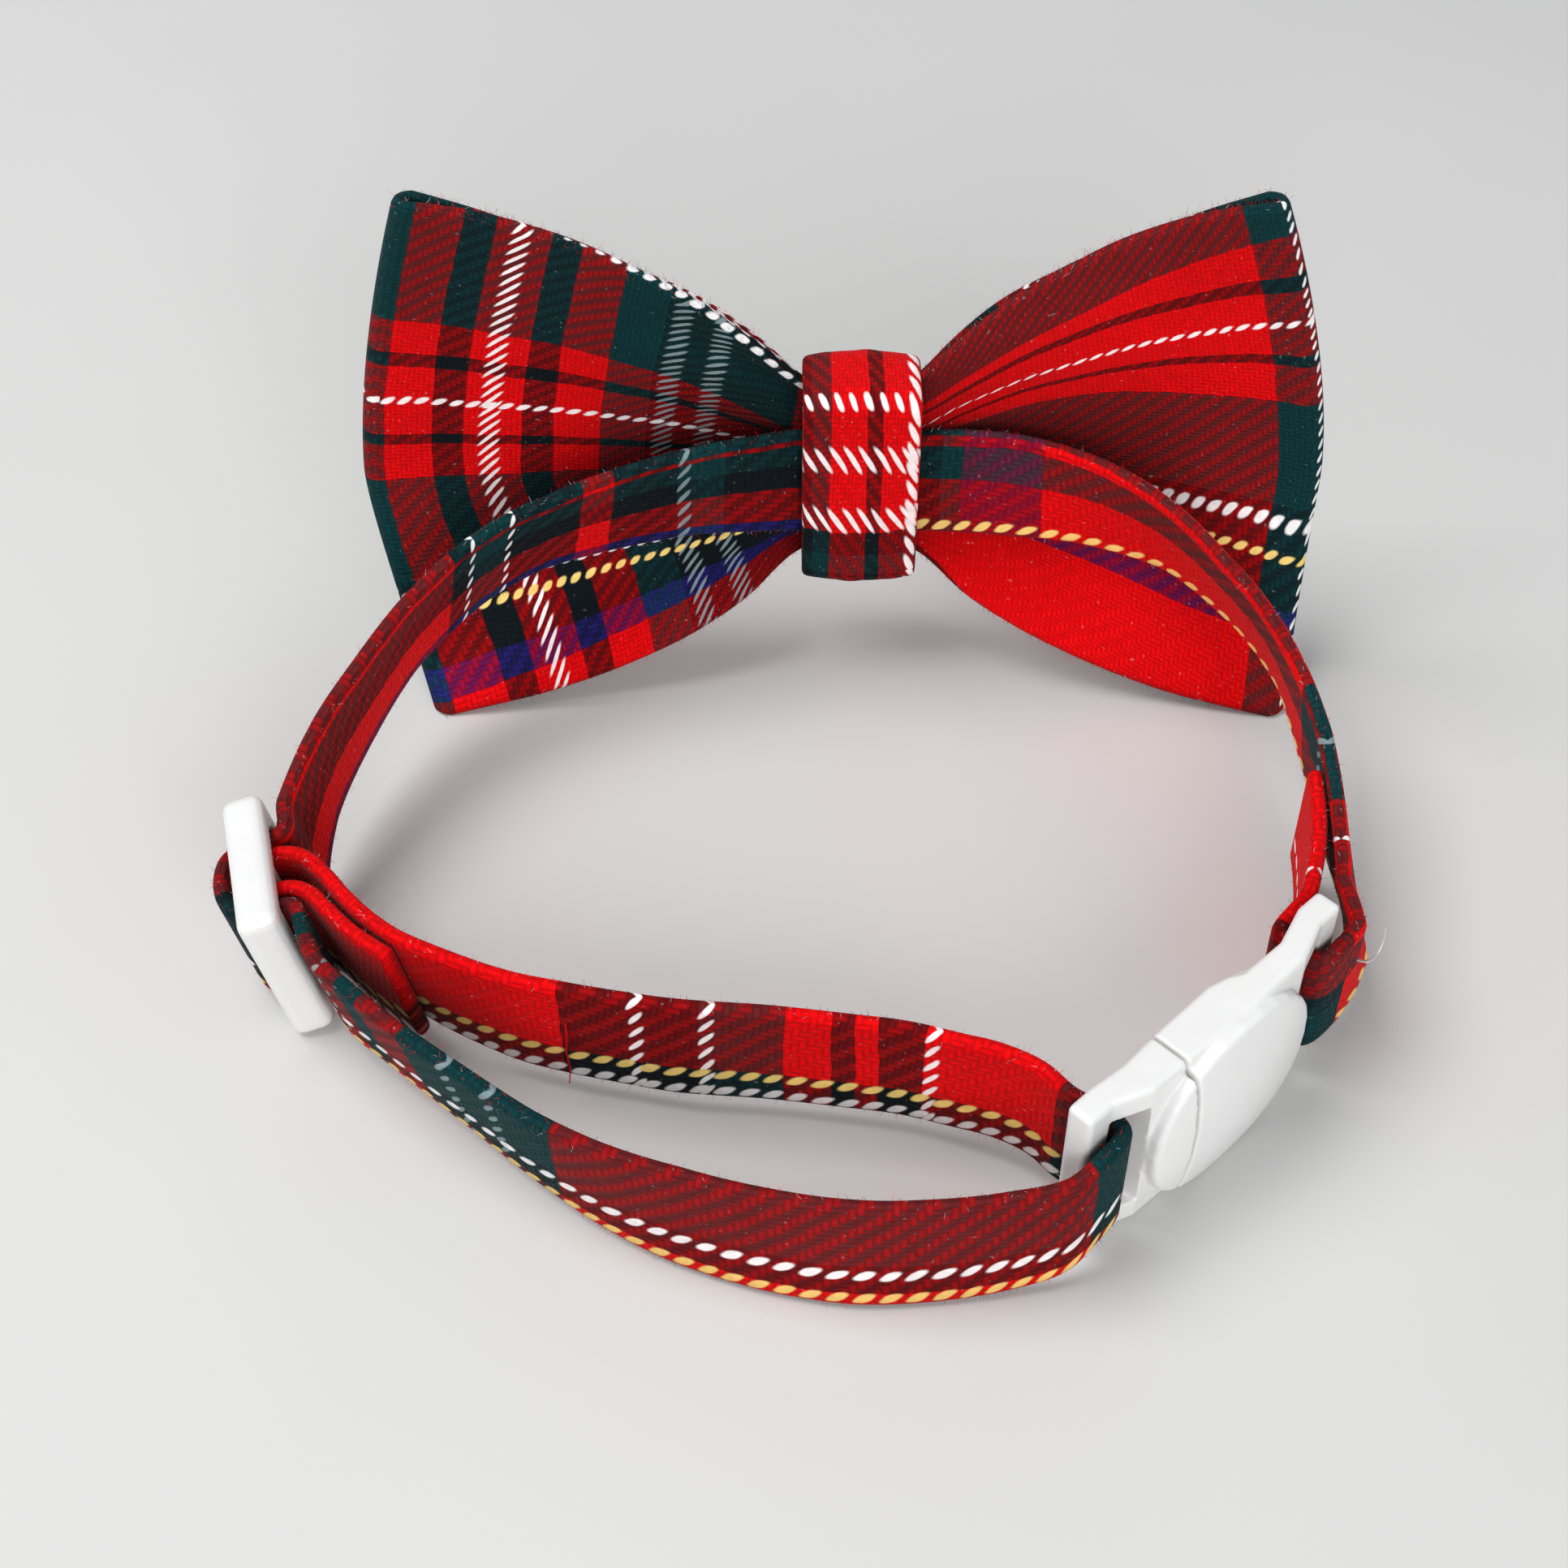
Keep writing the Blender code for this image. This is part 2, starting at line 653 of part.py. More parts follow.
def add_slider(material, parent):
    """A three-bar slider whose centre bar lies back from its outer face."""
    half_span, half_length, half_depth = SLIDER_SPAN / 2, SLIDER_LENGTH / 2, SLIDER_THICKNESS / 2
    slot_wall, inner_face, centre_half, centre_face = slider_corners()
    slider = add_box(
        "slider",
        (-half_span, -half_depth, -half_length),
        (half_span, half_depth, half_length),
        material,
        parent,
    )
    bevel(slider, SLIDER_EDGE, 3)
    slot = SLOT_LENGTH / 2
    past = half_depth * 2
    cuts = (
        ("slider_slot_far", (centre_half, -past, -slot), (slot_wall, past, slot)),
        ("slider_slot_near", (-slot_wall, -past, -slot), (-centre_half, past, slot)),
        ("slider_bar_recess", (-slot_wall, centre_face, -slot), (slot_wall, past, slot)),
        ("slider_bar_back", (-slot_wall, -past, -slot), (slot_wall, inner_face + CLEARANCE, slot)),
    )
    for name, low, high in cuts:
        boolean(slider, add_box(name, low, high, None, slider), "DIFFERENCE")
    slider.matrix_local = slider_frame()
    smooth(slider)
    return slider


def add_plate(name):
    """The buckle's plate: end bars, arms beside the slots, and the back of the body."""
    half_height = BUCKLE_HEIGHT / 2
    outline = PLATE_OUTER_SIDE + tuple(reversed(PLATE_INNER_SIDE))
    bm = bmesh.new()
    levels = [
        [bm.verts.new((along * BUCKLE_LENGTH, inward * BUCKLE_RING_THICKNESS, z)) for along, inward in outline]
        for z in (-half_height, half_height)
    ]
    count = len(outline)
    for k in range(count):
        following = (k + 1) % count
        bm.faces.new((levels[0][k], levels[0][following], levels[1][following], levels[1][k]))
    bm.faces.new(list(reversed(levels[0])))
    bm.faces.new(levels[1])
    plate = add_object(name, bm)
    bevel(plate, BUCKLE_EDGE)
    slot = SLOT_LENGTH / 2
    for end, low in (("near", BUCKLE_BAR), ("far", BUCKLE_LENGTH - BUCKLE_BAR - BUCKLE_SLOT)):
        cutter = add_box(
            name + "_slot_" + end,
            (low, -BUCKLE_HEIGHT, -slot),
            (low + BUCKLE_SLOT, BUCKLE_HEIGHT, slot),
            None,
            plate,
        )
        boolean(plate, cutter, "DIFFERENCE")
    return plate


def housing_span():
    start = BUCKLE_BAR + BUCKLE_SLOT
    return start, BUCKLE_LENGTH - BUCKLE_BAR - BUCKLE_SLOT


def add_housing(name, material, parent):
    """The oval body of the buckle, domed on its outer side and flat on its inner side."""
    start, end = housing_span()
    middle, half_length, half_height = (start + end) / 2, (end - start) / 2, BUCKLE_HEIGHT / 2
    bm = bmesh.new()

    def face_point(ring, spoke, outer):
        share = ring / HOUSING_RINGS
        angle = 2 * math.pi * spoke / HOUSING_SPOKES
        cosine, sine = math.cos(angle), math.sin(angle)
        x = middle + half_length * share * math.copysign(abs(cosine) ** HOUSING_SQUARENESS, cosine)
        z = half_height * share * math.copysign(abs(sine) ** HOUSING_SQUARENESS, sine)
        if outer:
            return Vector((x, -HOUSING_OFFSET - HOUSING_RIM / 2 - HOUSING_DOME * (1 - share ** 2), z))
        return Vector((x, -HOUSING_OFFSET + HOUSING_RIM / 2, z))

    sides = []
    for outer in (True, False):
        centre = bm.verts.new(face_point(0, 0, outer))
        rings = [
            [bm.verts.new(face_point(ring, spoke, outer)) for spoke in range(HOUSING_SPOKES)]
            for ring in range(1, HOUSING_RINGS + 1)
        ]
        for spoke in range(HOUSING_SPOKES):
            following = (spoke + 1) % HOUSING_SPOKES
            bm.faces.new((centre, rings[0][spoke], rings[0][following]))
            for near, far in zip(rings, rings[1:]):
                bm.faces.new((near[spoke], near[following], far[following], far[spoke]))
        sides.append(rings[-1])
    for spoke in range(HOUSING_SPOKES):
        following = (spoke + 1) % HOUSING_SPOKES
        bm.faces.new((sides[0][spoke], sides[0][following], sides[1][following], sides[1][spoke]))
    housing = add_object(name, bm, material, parent)
    bevel(housing, BUCKLE_EDGE)
    return housing


def add_buckle(material, parent):
    """Two halves: a near one with a tongue and a far one whose body takes the tongue."""
    start, end = housing_span()
    parting = start + PARTING_SHARE * (end - start)
    past = BUCKLE_LENGTH
    frame = buckle_frame()
    gap = PARTING_GAP / 2
    halves = []
    for name, is_near in (("buckle_tongue_half", True), ("buckle_socket_half", False)):
        half = add_housing(name, material, parent)
        if is_near:
            spare = add_box(name + "_spare", (parting - gap, -past, -past), (2 * past, past, past))
        else:
            spare = add_box(name + "_spare", (-past, -past, -past), (parting + gap, past, past))
        plate = add_plate(name + "_plate")
        boolean(half, plate, "UNION")
        boolean(half, spare, "DIFFERENCE")
        room = 0.0 if is_near else CLEARANCE
        tongue = add_box(
            name + "_tongue",
            (parting - BUCKLE_BAR, -HOUSING_OFFSET - TONGUE_THICKNESS / 2 - room, -TONGUE_HEIGHT / 2 - room),
            (parting + TONGUE_LENGTH + room, -HOUSING_OFFSET + TONGUE_THICKNESS / 2 + room, TONGUE_HEIGHT / 2 + room),
        )
        boolean(half, tongue, "UNION" if is_near else "DIFFERENCE")
        for guide in (spare, plate, tongue):
            guide.parent = half
        half.matrix_local = frame
        smooth(half)
        halves.append(half)
    return halves


def centre_on_footprint(parent, pieces):
    """Move the assembly so that the middle of its box is over the origin, its foot at zero."""
    bpy.context.view_layer.update()
    depsgraph = bpy.context.evaluated_depsgraph_get()
    corners = []
    for piece in pieces:
        evaluated = piece.evaluated_get(depsgraph)
        mesh = evaluated.to_mesh()
        corners += [evaluated.matrix_world @ vertex.co for vertex in mesh.vertices]
        evaluated.to_mesh_clear()
    low = [min(corner[axis] for corner in corners) for axis in range(3)]
    high = [max(corner[axis] for corner in corners) for axis in range(3)]
    parent.location = (-(low[0] + high[0]) / 2, -(low[1] + high[1]) / 2, -low[2])


def main():
    clear_scene()
    tartan = make_material("tartan_cloth", (0.55, 0.02, 0.03), 0.9)
    white_plastic = make_material("white_plastic", (0.86, 0.86, 0.85), 0.35)
    collar = bpy.data.objects.new("collar", None)
    bpy.context.collection.objects.link(collar)
    pieces = [
        add_bow(tartan, collar),
        add_knot_band(tartan, collar),
        add_strap(tartan, collar),
        add_slider(white_plastic, collar),
        *add_buckle(white_plastic, collar),
    ]
    centre_on_footprint(collar, pieces)


main()
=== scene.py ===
"""Looks of the pet bow tie collar: tartan twill cloth, white moulded plastic, floor, light."""
import math
import random

import bpy
import numpy as np
from mathutils import Matrix, Vector


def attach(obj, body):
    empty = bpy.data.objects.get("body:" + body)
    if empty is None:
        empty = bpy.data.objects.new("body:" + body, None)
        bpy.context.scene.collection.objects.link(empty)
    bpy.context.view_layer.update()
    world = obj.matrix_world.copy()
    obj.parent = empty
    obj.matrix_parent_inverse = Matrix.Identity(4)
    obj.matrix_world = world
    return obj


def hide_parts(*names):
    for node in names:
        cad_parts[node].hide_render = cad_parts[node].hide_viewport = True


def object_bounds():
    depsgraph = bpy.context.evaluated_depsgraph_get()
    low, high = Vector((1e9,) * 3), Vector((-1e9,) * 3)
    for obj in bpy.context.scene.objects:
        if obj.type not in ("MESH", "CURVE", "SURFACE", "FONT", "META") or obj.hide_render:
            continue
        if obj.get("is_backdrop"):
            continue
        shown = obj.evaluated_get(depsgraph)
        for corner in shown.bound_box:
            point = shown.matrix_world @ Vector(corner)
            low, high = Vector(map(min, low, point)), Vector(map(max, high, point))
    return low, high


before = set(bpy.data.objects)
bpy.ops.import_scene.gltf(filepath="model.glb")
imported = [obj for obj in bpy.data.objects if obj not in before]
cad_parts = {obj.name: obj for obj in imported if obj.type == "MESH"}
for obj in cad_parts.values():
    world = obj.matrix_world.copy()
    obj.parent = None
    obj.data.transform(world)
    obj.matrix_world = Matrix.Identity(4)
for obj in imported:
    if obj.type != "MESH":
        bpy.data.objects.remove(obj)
cad_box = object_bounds()

MM = 0.001
SHIFT = np.array((-1.145, -3.105, 0.011)) * MM

# Sizes that follow the solids
STRAP_WIDTH, STRAP_THICKNESS = 10.2 * MM, 1.2 * MM
BOW_CLOTH, KNOT_CLOTH = 1.1 * MM, 1.1 * MM
CLEARANCE = 0.3 * MM
LOOP_WIDTH, LOOP_DEPTH = 84.0 * MM, 65.0 * MM
BUCKLE_END_SEWN = 15.5 * MM
WING_LEFT, WING_RIGHT, BOW_HEIGHT = 40.6 * MM, 38.0 * MM, 46.0 * MM
END_FOLD_RADIUS, PLEAT_DEPTH = 0.9 * MM, 0.6 * MM
KNOT_WIDTH, KNOT_DEPTH = 9.5 * MM, 9.0 * MM
KNOT_TOP, KNOT_BOTTOM, KNOT_BULGE = BOW_HEIGHT * 0.637, BOW_HEIGHT * 0.226, 0.4 * MM
SLIDER_LENGTH, SLIDER_SPAN, SLIDER_THICKNESS = 13.6 * MM, 13.4 * MM, 3.2 * MM
SLIDER_BAR, SLIDER_CENTRE_BAR, SLIDER_CENTRE_THICKNESS = 2.2 * MM, 1.8 * MM, 1.6 * MM
SLIDER_LEAN, SLIDER_HEADING = math.radians(11), math.radians(104)
BUCKLE_LENGTH, BUCKLE_HEIGHT, BUCKLE_BAR = 27.4 * MM, 15.0 * MM, 2.2 * MM
BUCKLE_RING_THICKNESS = 2.1 * MM
BUCKLE_HEADING = math.radians(44.4)
KNOT_PLACE, SLIDER_PLACE, BUCKLE_PLACE = (0.074, 0.497), (-0.454, -0.0525), (0.232, -0.4292)
REST_HEIGHT = BUCKLE_HEIGHT / 2
KNOT_MIDDLE = (KNOT_TOP + KNOT_BOTTOM) / 2
WRAP = CLEARANCE + STRAP_THICKNESS / 2
LAYER_PITCH = STRAP_THICKNESS + CLEARANCE

# Points of the strap's curve in each span between two of its rows
PER_SPAN = 16
# The knot band's corners, seen from the side: place along its depth and its height, radius as a
# share of its depth, and the angle at which the corner's arc begins
KNOT_CORNERS = (
    (0.0, 0.0, 0.14, 180),
    (1.0, 0.0, 0.16, 270),
    (1.0, 1.0, 0.45, 0),
    (0.0, 1.0, 0.12, 90),
)
# How fine the mouldings' mesh is, and how often it is smoothed
MOULDING_VOXEL, MOULDING_SMOOTHING = 0.14 * MM, 3
FIBRE_RADIUS, LOOSE_THREAD_RADIUS = 0.016 * MM, 0.12 * MM

# Rows of the strap's free runs: place across and along the loop as shares of its size, rise as a
# share of the way up to the knot's middle, and outward lean in degrees
RIGHT_REAR_RUN = (
    (0.506, -0.069, 0.01, -17),
    (0.508, 0.008, 0.04, -13),
    (0.506, 0.077, 0.08, -9),
    (0.501, 0.142, 0.16, -7),
    (0.491, 0.215, 0.27, -10),
    (0.469, 0.302, 0.44, -18),
    (0.434, 0.371, 0.58, -21),
    (0.369, 0.446, 0.78, -18),
    (0.298, 0.483, 0.89, -8),
    (0.229, 0.495, 0.96, 1),
    (0.180, 0.497, 0.99, 2),
    (0.138, 0.497, 1.00, 0),
)
LEFT_REAR_RUN = (
    (0.010, 0.497, 1.00, 0),
    (-0.030, 0.489, 1.00, -4),
    (-0.080, 0.478, 1.00, -9),
    (-0.155, 0.461, 0.93, -14),
    (-0.231, 0.434, 0.83, -19),
    (-0.290, 0.397, 0.71, -16),
    (-0.352, 0.323, 0.52, -12),
    (-0.401, 0.215, 0.32, -5),
    (-0.427, 0.129, 0.20, 1),
)
FRONT_OUTER_RUN = (
    (-0.387, -0.183, 0.03, 13),
    (-0.349, -0.228, 0.01, 14),
    (-0.312, -0.268, -0.02, 14),
    (-0.271, -0.308, -0.06, 12),
    (-0.200, -0.377, -0.11, 8),
    (-0.146, -0.418, -0.145, 3),
    (-0.086, -0.451, -0.17, -3),
    (-0.013, -0.480, -0.18, -6),
    (0.055, -0.495, -0.18, -7),
    (0.115, -0.494, -0.18, -6),
    (0.179, -0.486, -0.15, -4),
    (0.229, -0.474, -0.08, -1),
)
FRONT_INNER_RUN = (
    (0.210, -0.337, 0.01, 0),
    (0.179, -0.312, 0.00, 0),
    (0.145, -0.295, -0.02, 0),
    (0.101, -0.277, -0.03, 0),
    (0.054, -0.266, -0.04, 0),
    (-0.014, -0.254, -0.04, 0),
    (-0.092, -0.245, -0.04, 0),
    (-0.137, -0.234, -0.04, 1),
    (-0.190, -0.220, -0.03, 2),
    (-0.238, -0.203, -0.02, 4),
)
# The strap's layers at the slider, as shares of its span, and its sewn layer at the buckle's far
# ring, as shares of that layer's length
SLIDER_INNER_LAYER = (
    (-0.768, -0.725),
    (-0.551, -0.572),
    (-0.333, -0.457),
    (-0.130, -0.370),
    (0.036, -0.275),
    (0.116, -0.159),
)
SLIDER_FOLDED_LAYER = (
    (-0.152, -0.174),
    (-0.232, -0.272),
    (-0.384, -0.351),
    (-0.616, -0.475),
    (-0.833, -0.630),
)
BUCKLE_SEWN_LAYER = (
    (0.756, 0.617),
    (0.621, 0.497),
    (0.439, 0.357),
    (0.260, 0.245),
    (0.088, 0.161),
    (-0.034, 0.145),
)
# Rows along a wing: reach; upper edge, lower edge, setback, upper lobe, lower lobe, gap between
# the panels and drop of the far panel's top as shares of the bow's height; share of the pleats
WING_PROFILE = (
    (0.00, 0.560, 0.270, 0.000, 0.012, 0.012, 0.038, 0.050, 1.00),
    (0.08, 0.568, 0.260, 0.002, 0.014, 0.020, 0.038, 0.046, 0.95),
    (0.16, 0.606, 0.240, 0.006, 0.018, 0.044, 0.044, 0.034, 0.80),
    (0.26, 0.676, 0.186, 0.010, 0.022, 0.095, 0.050, 0.026, 0.55),
    (0.38, 0.756, 0.134, 0.014, 0.026, 0.128, 0.050, 0.028, 0.32),
    (0.50, 0.816, 0.092, 0.018, 0.029, 0.152, 0.046, 0.032, 0.16),
    (0.63, 0.872, 0.054, 0.020, 0.031, 0.172, 0.042, 0.034, 0.07),
    (0.76, 0.912, 0.026, 0.020, 0.033, 0.190, 0.038, 0.030, 0.02),
    (0.88, 0.942, 0.012, 0.018, 0.038, 0.206, 0.035, 0.018, 0.00),
    (1.00, 0.962, -0.004, 0.015, 0.044, 0.216, 0.032, 0.000, 0.00),
)
# How much shorter each wing is at its upper and lower corner than at its widest row
LEFT_END = {"upper": 0.135, "lower": 0.120}
RIGHT_END = {"upper": 0.180, "lower": 0.050}
END_WIDEST_ROW, END_ROUNDNESS, LOBE_ROUNDNESS = -0.2, 1.5, 2.1

# Twill: distance between warp threads and between weft threads
WARP_PITCH, WEFT_PITCH = 0.44 * MM, 0.365 * MM

# The strap and the knot are cut from the cloth at a slant, which spreads their threads
STRAP_WARP_PITCH, STRAP_WEFT_PITCH = 0.56 * MM, 0.48 * MM
KNOT_WARP_PITCH, KNOT_WEFT_PITCH = 0.48 * MM, 0.29 * MM

# Thread colours
RED = (0.78, 0.0012, 0.003)
GREEN = (0.003, 0.036, 0.040)
BLACK = (0.004, 0.008, 0.011)
WHITE = (0.88, 0.88, 0.88)
GREY = (0.20, 0.27, 0.29)
YELLOW = (0.90, 0.66, 0.20)
BLUE = (0.020, 0.013, 0.18)
PURPLE = (0.20, 0.006, 0.05)
PALE = (WHITE, GREY, YELLOW)

# Pale floats: after how many threads they repeat, then for warp and for weft how far they lean
# from thread to thread, their half length as a share of the repeat and their share of the band
CLOTH_FLOATS = (3.2, (1.3, 0.25, 1.1), (0.7, 0.35, 1.2))
KNOT_FLOATS = (4.0, (0.9, 0.24, 1.1), (1.0, 0.36, 1.25))
# How much the colours of the threads blend, how much pale floats are tinted by what they cross,
# how much darker red gets over green or black, and how high a pale float stands
BLEND, TINT, DULLING, FLOAT_RISE = 0.64, 0.16, 0.62, 1.15
# How far threads wander, in threads, and how fine that is
WANDER, WANDER_SCALE = 1.1, 260.0
# Darkening as gain and base: painted shade from the threads' height and from crevices, and uneven dye in
# flecks and patches
HEIGHT_SHADE, CREVICE_SHADE = (0.42, 0.66), (0.6, 0.42)
FLECK_SHADE, PATCH_SHADE = (0.5, 0.75), (0.35, 0.825)
# How far the painted crevice shade reaches
CREVICE_REACH = 7 * MM
OVAL_ROUNDNESS, OVAL_EDGE = 2.4, (1.15, 0.55)
LINT_COLOUR, LINT_LEVEL, LINT_STRENGTH = (0.75, 0.75, 0.75), 0.82, 0.12
PLASTIC_SHADED, PLASTIC_LIT = (0.74, 0.74, 0.73), (0.83, 0.83, 0.825)
FLOOR_SHADED, FLOOR_LIT = (0.60, 0.60, 0.59), (0.64, 0.64, 0.63)

# Bands of threads, each a colour and a count. The bow's warp runs from the left fold along the
# near panel, round the right fold and back along the far panel; its weft runs from the bottom up
BOW_WARP = (
    (GREEN, 1), (RED, 8), (BLACK, 6), (RED, 4), (WHITE, 4), (RED, 4), (BLACK, 6), (RED, 8),
    (GREEN, 9), (BLACK, 2), (GREY, 4), (BLACK, 4), (GREY, 4), (BLACK, 14), (RED, 95), (GREEN, 7),
    (WHITE, 1), (GREEN, 14), (BLACK, 3), (WHITE, 4), (BLACK, 3), (GREEN, 9), (RED, 8), (BLACK, 6),
    (RED, 4), (WHITE, 4), (RED, 4), (BLACK, 6), (RED, 92), (BLACK, 6), (RED, 8), (GREEN, 18),
)
BOW_WEFT = (
    (RED, 30), (BLUE, 6), (BLACK, 9), (YELLOW, 2), (BLACK, 3), (WHITE, 2), (BLACK, 2), (GREEN, 25),
    (RED, 10), (BLACK, 3), (RED, 9), (WHITE, 2), (RED, 9), (BLACK, 3), (RED, 10), (GREEN, 34),
    (WHITE, 2), (BLACK, 8),
)
BOW_WEFT_START = 28.9
# The knot's warp starts at its upper front edge and runs down the front, its weft from the left
KNOT_WARP = (
    (WHITE, 2), (RED, 7), (WHITE, 5), (RED, 7), (WHITE, 5), (BLACK, 5), (GREEN, 7), (BLACK, 5), (RED, 62),
)
KNOT_WEFT = ((BLACK, 3), (GREEN, 5), (RED, 10), (BLACK, 4), (RED, 7), (WHITE, 3), (RED, 10))
KNOT_EDGE_ABOVE_FRONT = 1.2 * MM
# The strap's wefts run from its lower edge up, and its warps run the way the strap does: from its
# sewn end at the buckle's far ring to the knot, over the slider, along the front to the near ring
# and back to the slider
SEWN_END_WARP = ((RED, 18), (WHITE, 1), (RED, 60))
SEWN_END_WEFT = ((RED, 5), (WHITE, 1), (RED, 16))
RING_TURN_WARP = ((BLACK, 3), (GREEN, 40))
RING_TURN_WEFT = ((GREEN, 8), (BLACK, 4), (RED, 12))
REAR_RIGHT_WARP = (
    (RED, 17), (WHITE, 1), (RED, 6), (GREEN, 9), (GREY, 2), (GREEN, 8), (RED, 56), (PURPLE, 12),
    (GREEN, 3), (BLACK, 40),
)
REAR_RIGHT_WEFT = ((RED, 1), (YELLOW, 2), (RED, 9), (GREEN, 7), (RED, 2), (GREEN, 20))
REAR_LEFT_WARP = (
    (BLACK, 20), (GREEN, 5), (GREY, 2), (BLACK, 10), (RED, 4), (BLACK, 12), (WHITE, 1), (GREEN, 6),
    (WHITE, 1), (BLACK, 3), (RED, 90),
)
REAR_LEFT_WEFT = ((BLUE, 3), (RED, 7), (BLACK, 5), (GREEN, 4), (RED, 1), (GREEN, 20))
FRONT_OUTER_WARP = (
    (BLACK, 5), (GREEN, 4), (RED, 5), (GREEN, 4), (RED, 5), (GREY, 1), (RED, 3), (GREEN, 4), (RED, 6),
    (GREEN, 7), (GREY, 2), (GREEN, 5), (GREY, 2), (GREEN, 7), (RED, 69), (GREEN, 60),
)
FRONT_OUTER_WEFT = ((RED, 1), (YELLOW, 2), (BLACK, 3), (WHITE, 2), (BLACK, 1), (GREEN, 30))
FRONT_INNER_WARP = (
    (GREEN, 8), (RED, 17), (WHITE, 2), (BLACK, 5), (RED, 3), (BLACK, 3), (RED, 6), (GREEN, 10),
    (WHITE, 2), (BLACK, 7), (WHITE, 2), (BLACK, 9), (RED, 120),
)
FRONT_INNER_WEFT = ((BLACK, 1), (WHITE, 2), (BLACK, 2), (YELLOW, 2), (RED, 40))

# How the bow's bands stray from the cloth's straight grain, at heights up the cloth in mm:
# how far they lean along the left wing, fully so this far from the knot, and how far they drift
# where the cloth is gathered
LEAN_START = 8 * MM
LEFT_LEAN = ((2, 2.0), (7, 1.7), (12, 0.8), (18, 0.1), (26, 0.0), (36, 0.2), (46, 0.5))
LEFT_DRIFT = ((0, -4.0), (10, -4.5), (20, -1.8), (27, 0.0), (34, 1.0), (46, 2.0))
RIGHT_DRIFT = ((0, -9.0), (30, -9.0), (35, 0.0), (38, 0.0), (41, 6.0), (46, 6.0))
# The left wing's height for each height on the right wing, which is pulled up
RIGHT_TO_LEFT = (
    (-12, -15.5), (0, -3.5), (6, 1.8), (11.5, 6.9), (14.2, 8.2), (26, 18.4), (30.5, 22.5),
    (34.5, 26.7), (38.5, 31.0), (43.5, 35.0), (60, 51.5),
)

# Each loose thread: its colour, a point near the strap's middle line where it comes out, and its
# course from there, in mm
LOOSE_THREADS = (
    ("loose_red_thread", (0.6, 0.002, 0.004), (-16.9, -16.9, 5.0),
     ((0.0, -0.5, 1.6), (0.1, -0.9, 0.4), (-0.1, -1.0, -1.4), (0.15, -1.1, -3.2), (0.0, -1.5, -4.6))),
    ("loose_white_thread", (0.7, 0.7, 0.68), (40.0, -12.3, 7.0),
     ((0.6, -0.2, 1.4), (1.2, -0.7, 1.7), (1.9, -0.5, 2.2), (2.3, 0.2, 2.9), (2.6, 1.2, 3.4))),
)


# Shapes shared with the solids
def interpolate(table, key, column):
    last = len(table) - 1
    index = 0
    while index < last - 1 and key > table[index + 1][0]:
        index += 1
    start, end = table[index], table[index + 1]
    before, after = table[max(index - 1, 0)], table[min(index + 2, last)]
    span = end[0] - start[0]
    share = (key - start[0]) / span
    slope_in = (end[column] - before[column]) / (end[0] - before[0])
    slope_out = (after[column] - start[column]) / (after[0] - start[0])
    cube, square = share ** 3, share ** 2
    return (
        (2 * cube - 3 * square + 1) * start[column]
        + (cube - 2 * square + share) * span * slope_in
        + (3 * square - 2 * cube) * end[column]
        + (cube - square) * span * slope_out
    )


def loop_point(across, along, height):
    return Vector((across * LOOP_WIDTH, along * LOOP_DEPTH, height))


def slider_frame():
    up_share = math.cos(SLIDER_LEAN) * SLIDER_LENGTH / 2
    foot_share = math.sin(SLIDER_LEAN) * SLIDER_THICKNESS / 2
    place = loop_point(*SLIDER_PLACE, up_share + foot_share)
    return (
        Matrix.Translation(place)
        @ Matrix.Rotation(SLIDER_HEADING, 4, "Z")
        @ Matrix.Rotation(-SLIDER_LEAN, 4, "X")
    )


def buckle_frame():
    return Matrix.Translation(loop_point(*BUCKLE_PLACE, REST_HEIGHT)) @ Matrix.Rotation(
        BUCKLE_HEADING, 4, "Z"
    )


def free_rows(table):
    rows = []
    for across, along, rise, lean in table:
        height = REST_HEIGHT + rise * (KNOT_MIDDLE - REST_HEIGHT)
        lowest = STRAP_WIDTH / 2 * math.cos(math.radians(lean)) + STRAP_THICKNESS / 2 * abs(
            math.sin(math.radians(lean))
        )
        point = loop_point(across, along, max(height, lowest))
        outward = Vector((point.x, point.y, 0.0)).normalized()
        tilt = math.tan(math.radians(lean))
        rows.append((point, (Vector((0.0, 0.0, 1.0)) + outward * tilt).normalized()))
    return rows


def framed_rows(place, points):
    up = (place.to_3x3() @ Vector((0.0, 0.0, 1.0))).normalized()
    return [(place @ Vector((x, y, 0.0)), up.copy()) for x, y in points]


def arc(corner, radius, degrees):
    return [
        (corner[0] + radius * math.cos(math.radians(a)), corner[1] + radius * math.sin(math.radians(a)))
        for a in degrees
    ]


def slider_corners():
    slot_wall = SLIDER_SPAN / 2 - SLIDER_BAR
    inner_face = -SLIDER_THICKNESS / 2
    centre_half = SLIDER_CENTRE_BAR / 2
    return slot_wall, inner_face, centre_half, inner_face + CLEARANCE + SLIDER_CENTRE_THICKNESS


def over_slider():
    slot_wall, inner_face, centre_half, centre_face = slider_corners()
    reach = SLIDER_SPAN / 2
    approach = inner_face - WRAP - CLEARANCE
    over = WRAP + LAYER_PITCH
    loose = WRAP + CLEARANCE / 3
    far = [(reach, approach)] + arc((slot_wall, inner_face), loose, (-90, -135, -180))
    crown = arc((centre_half, centre_face), over, (0, 45, 90)) + arc(
        (-centre_half, centre_face), over, (90, 135, 180)
    )
    return far + crown + arc((-slot_wall, inner_face), loose, (0, -45, -90)) + [(-reach, approach)]


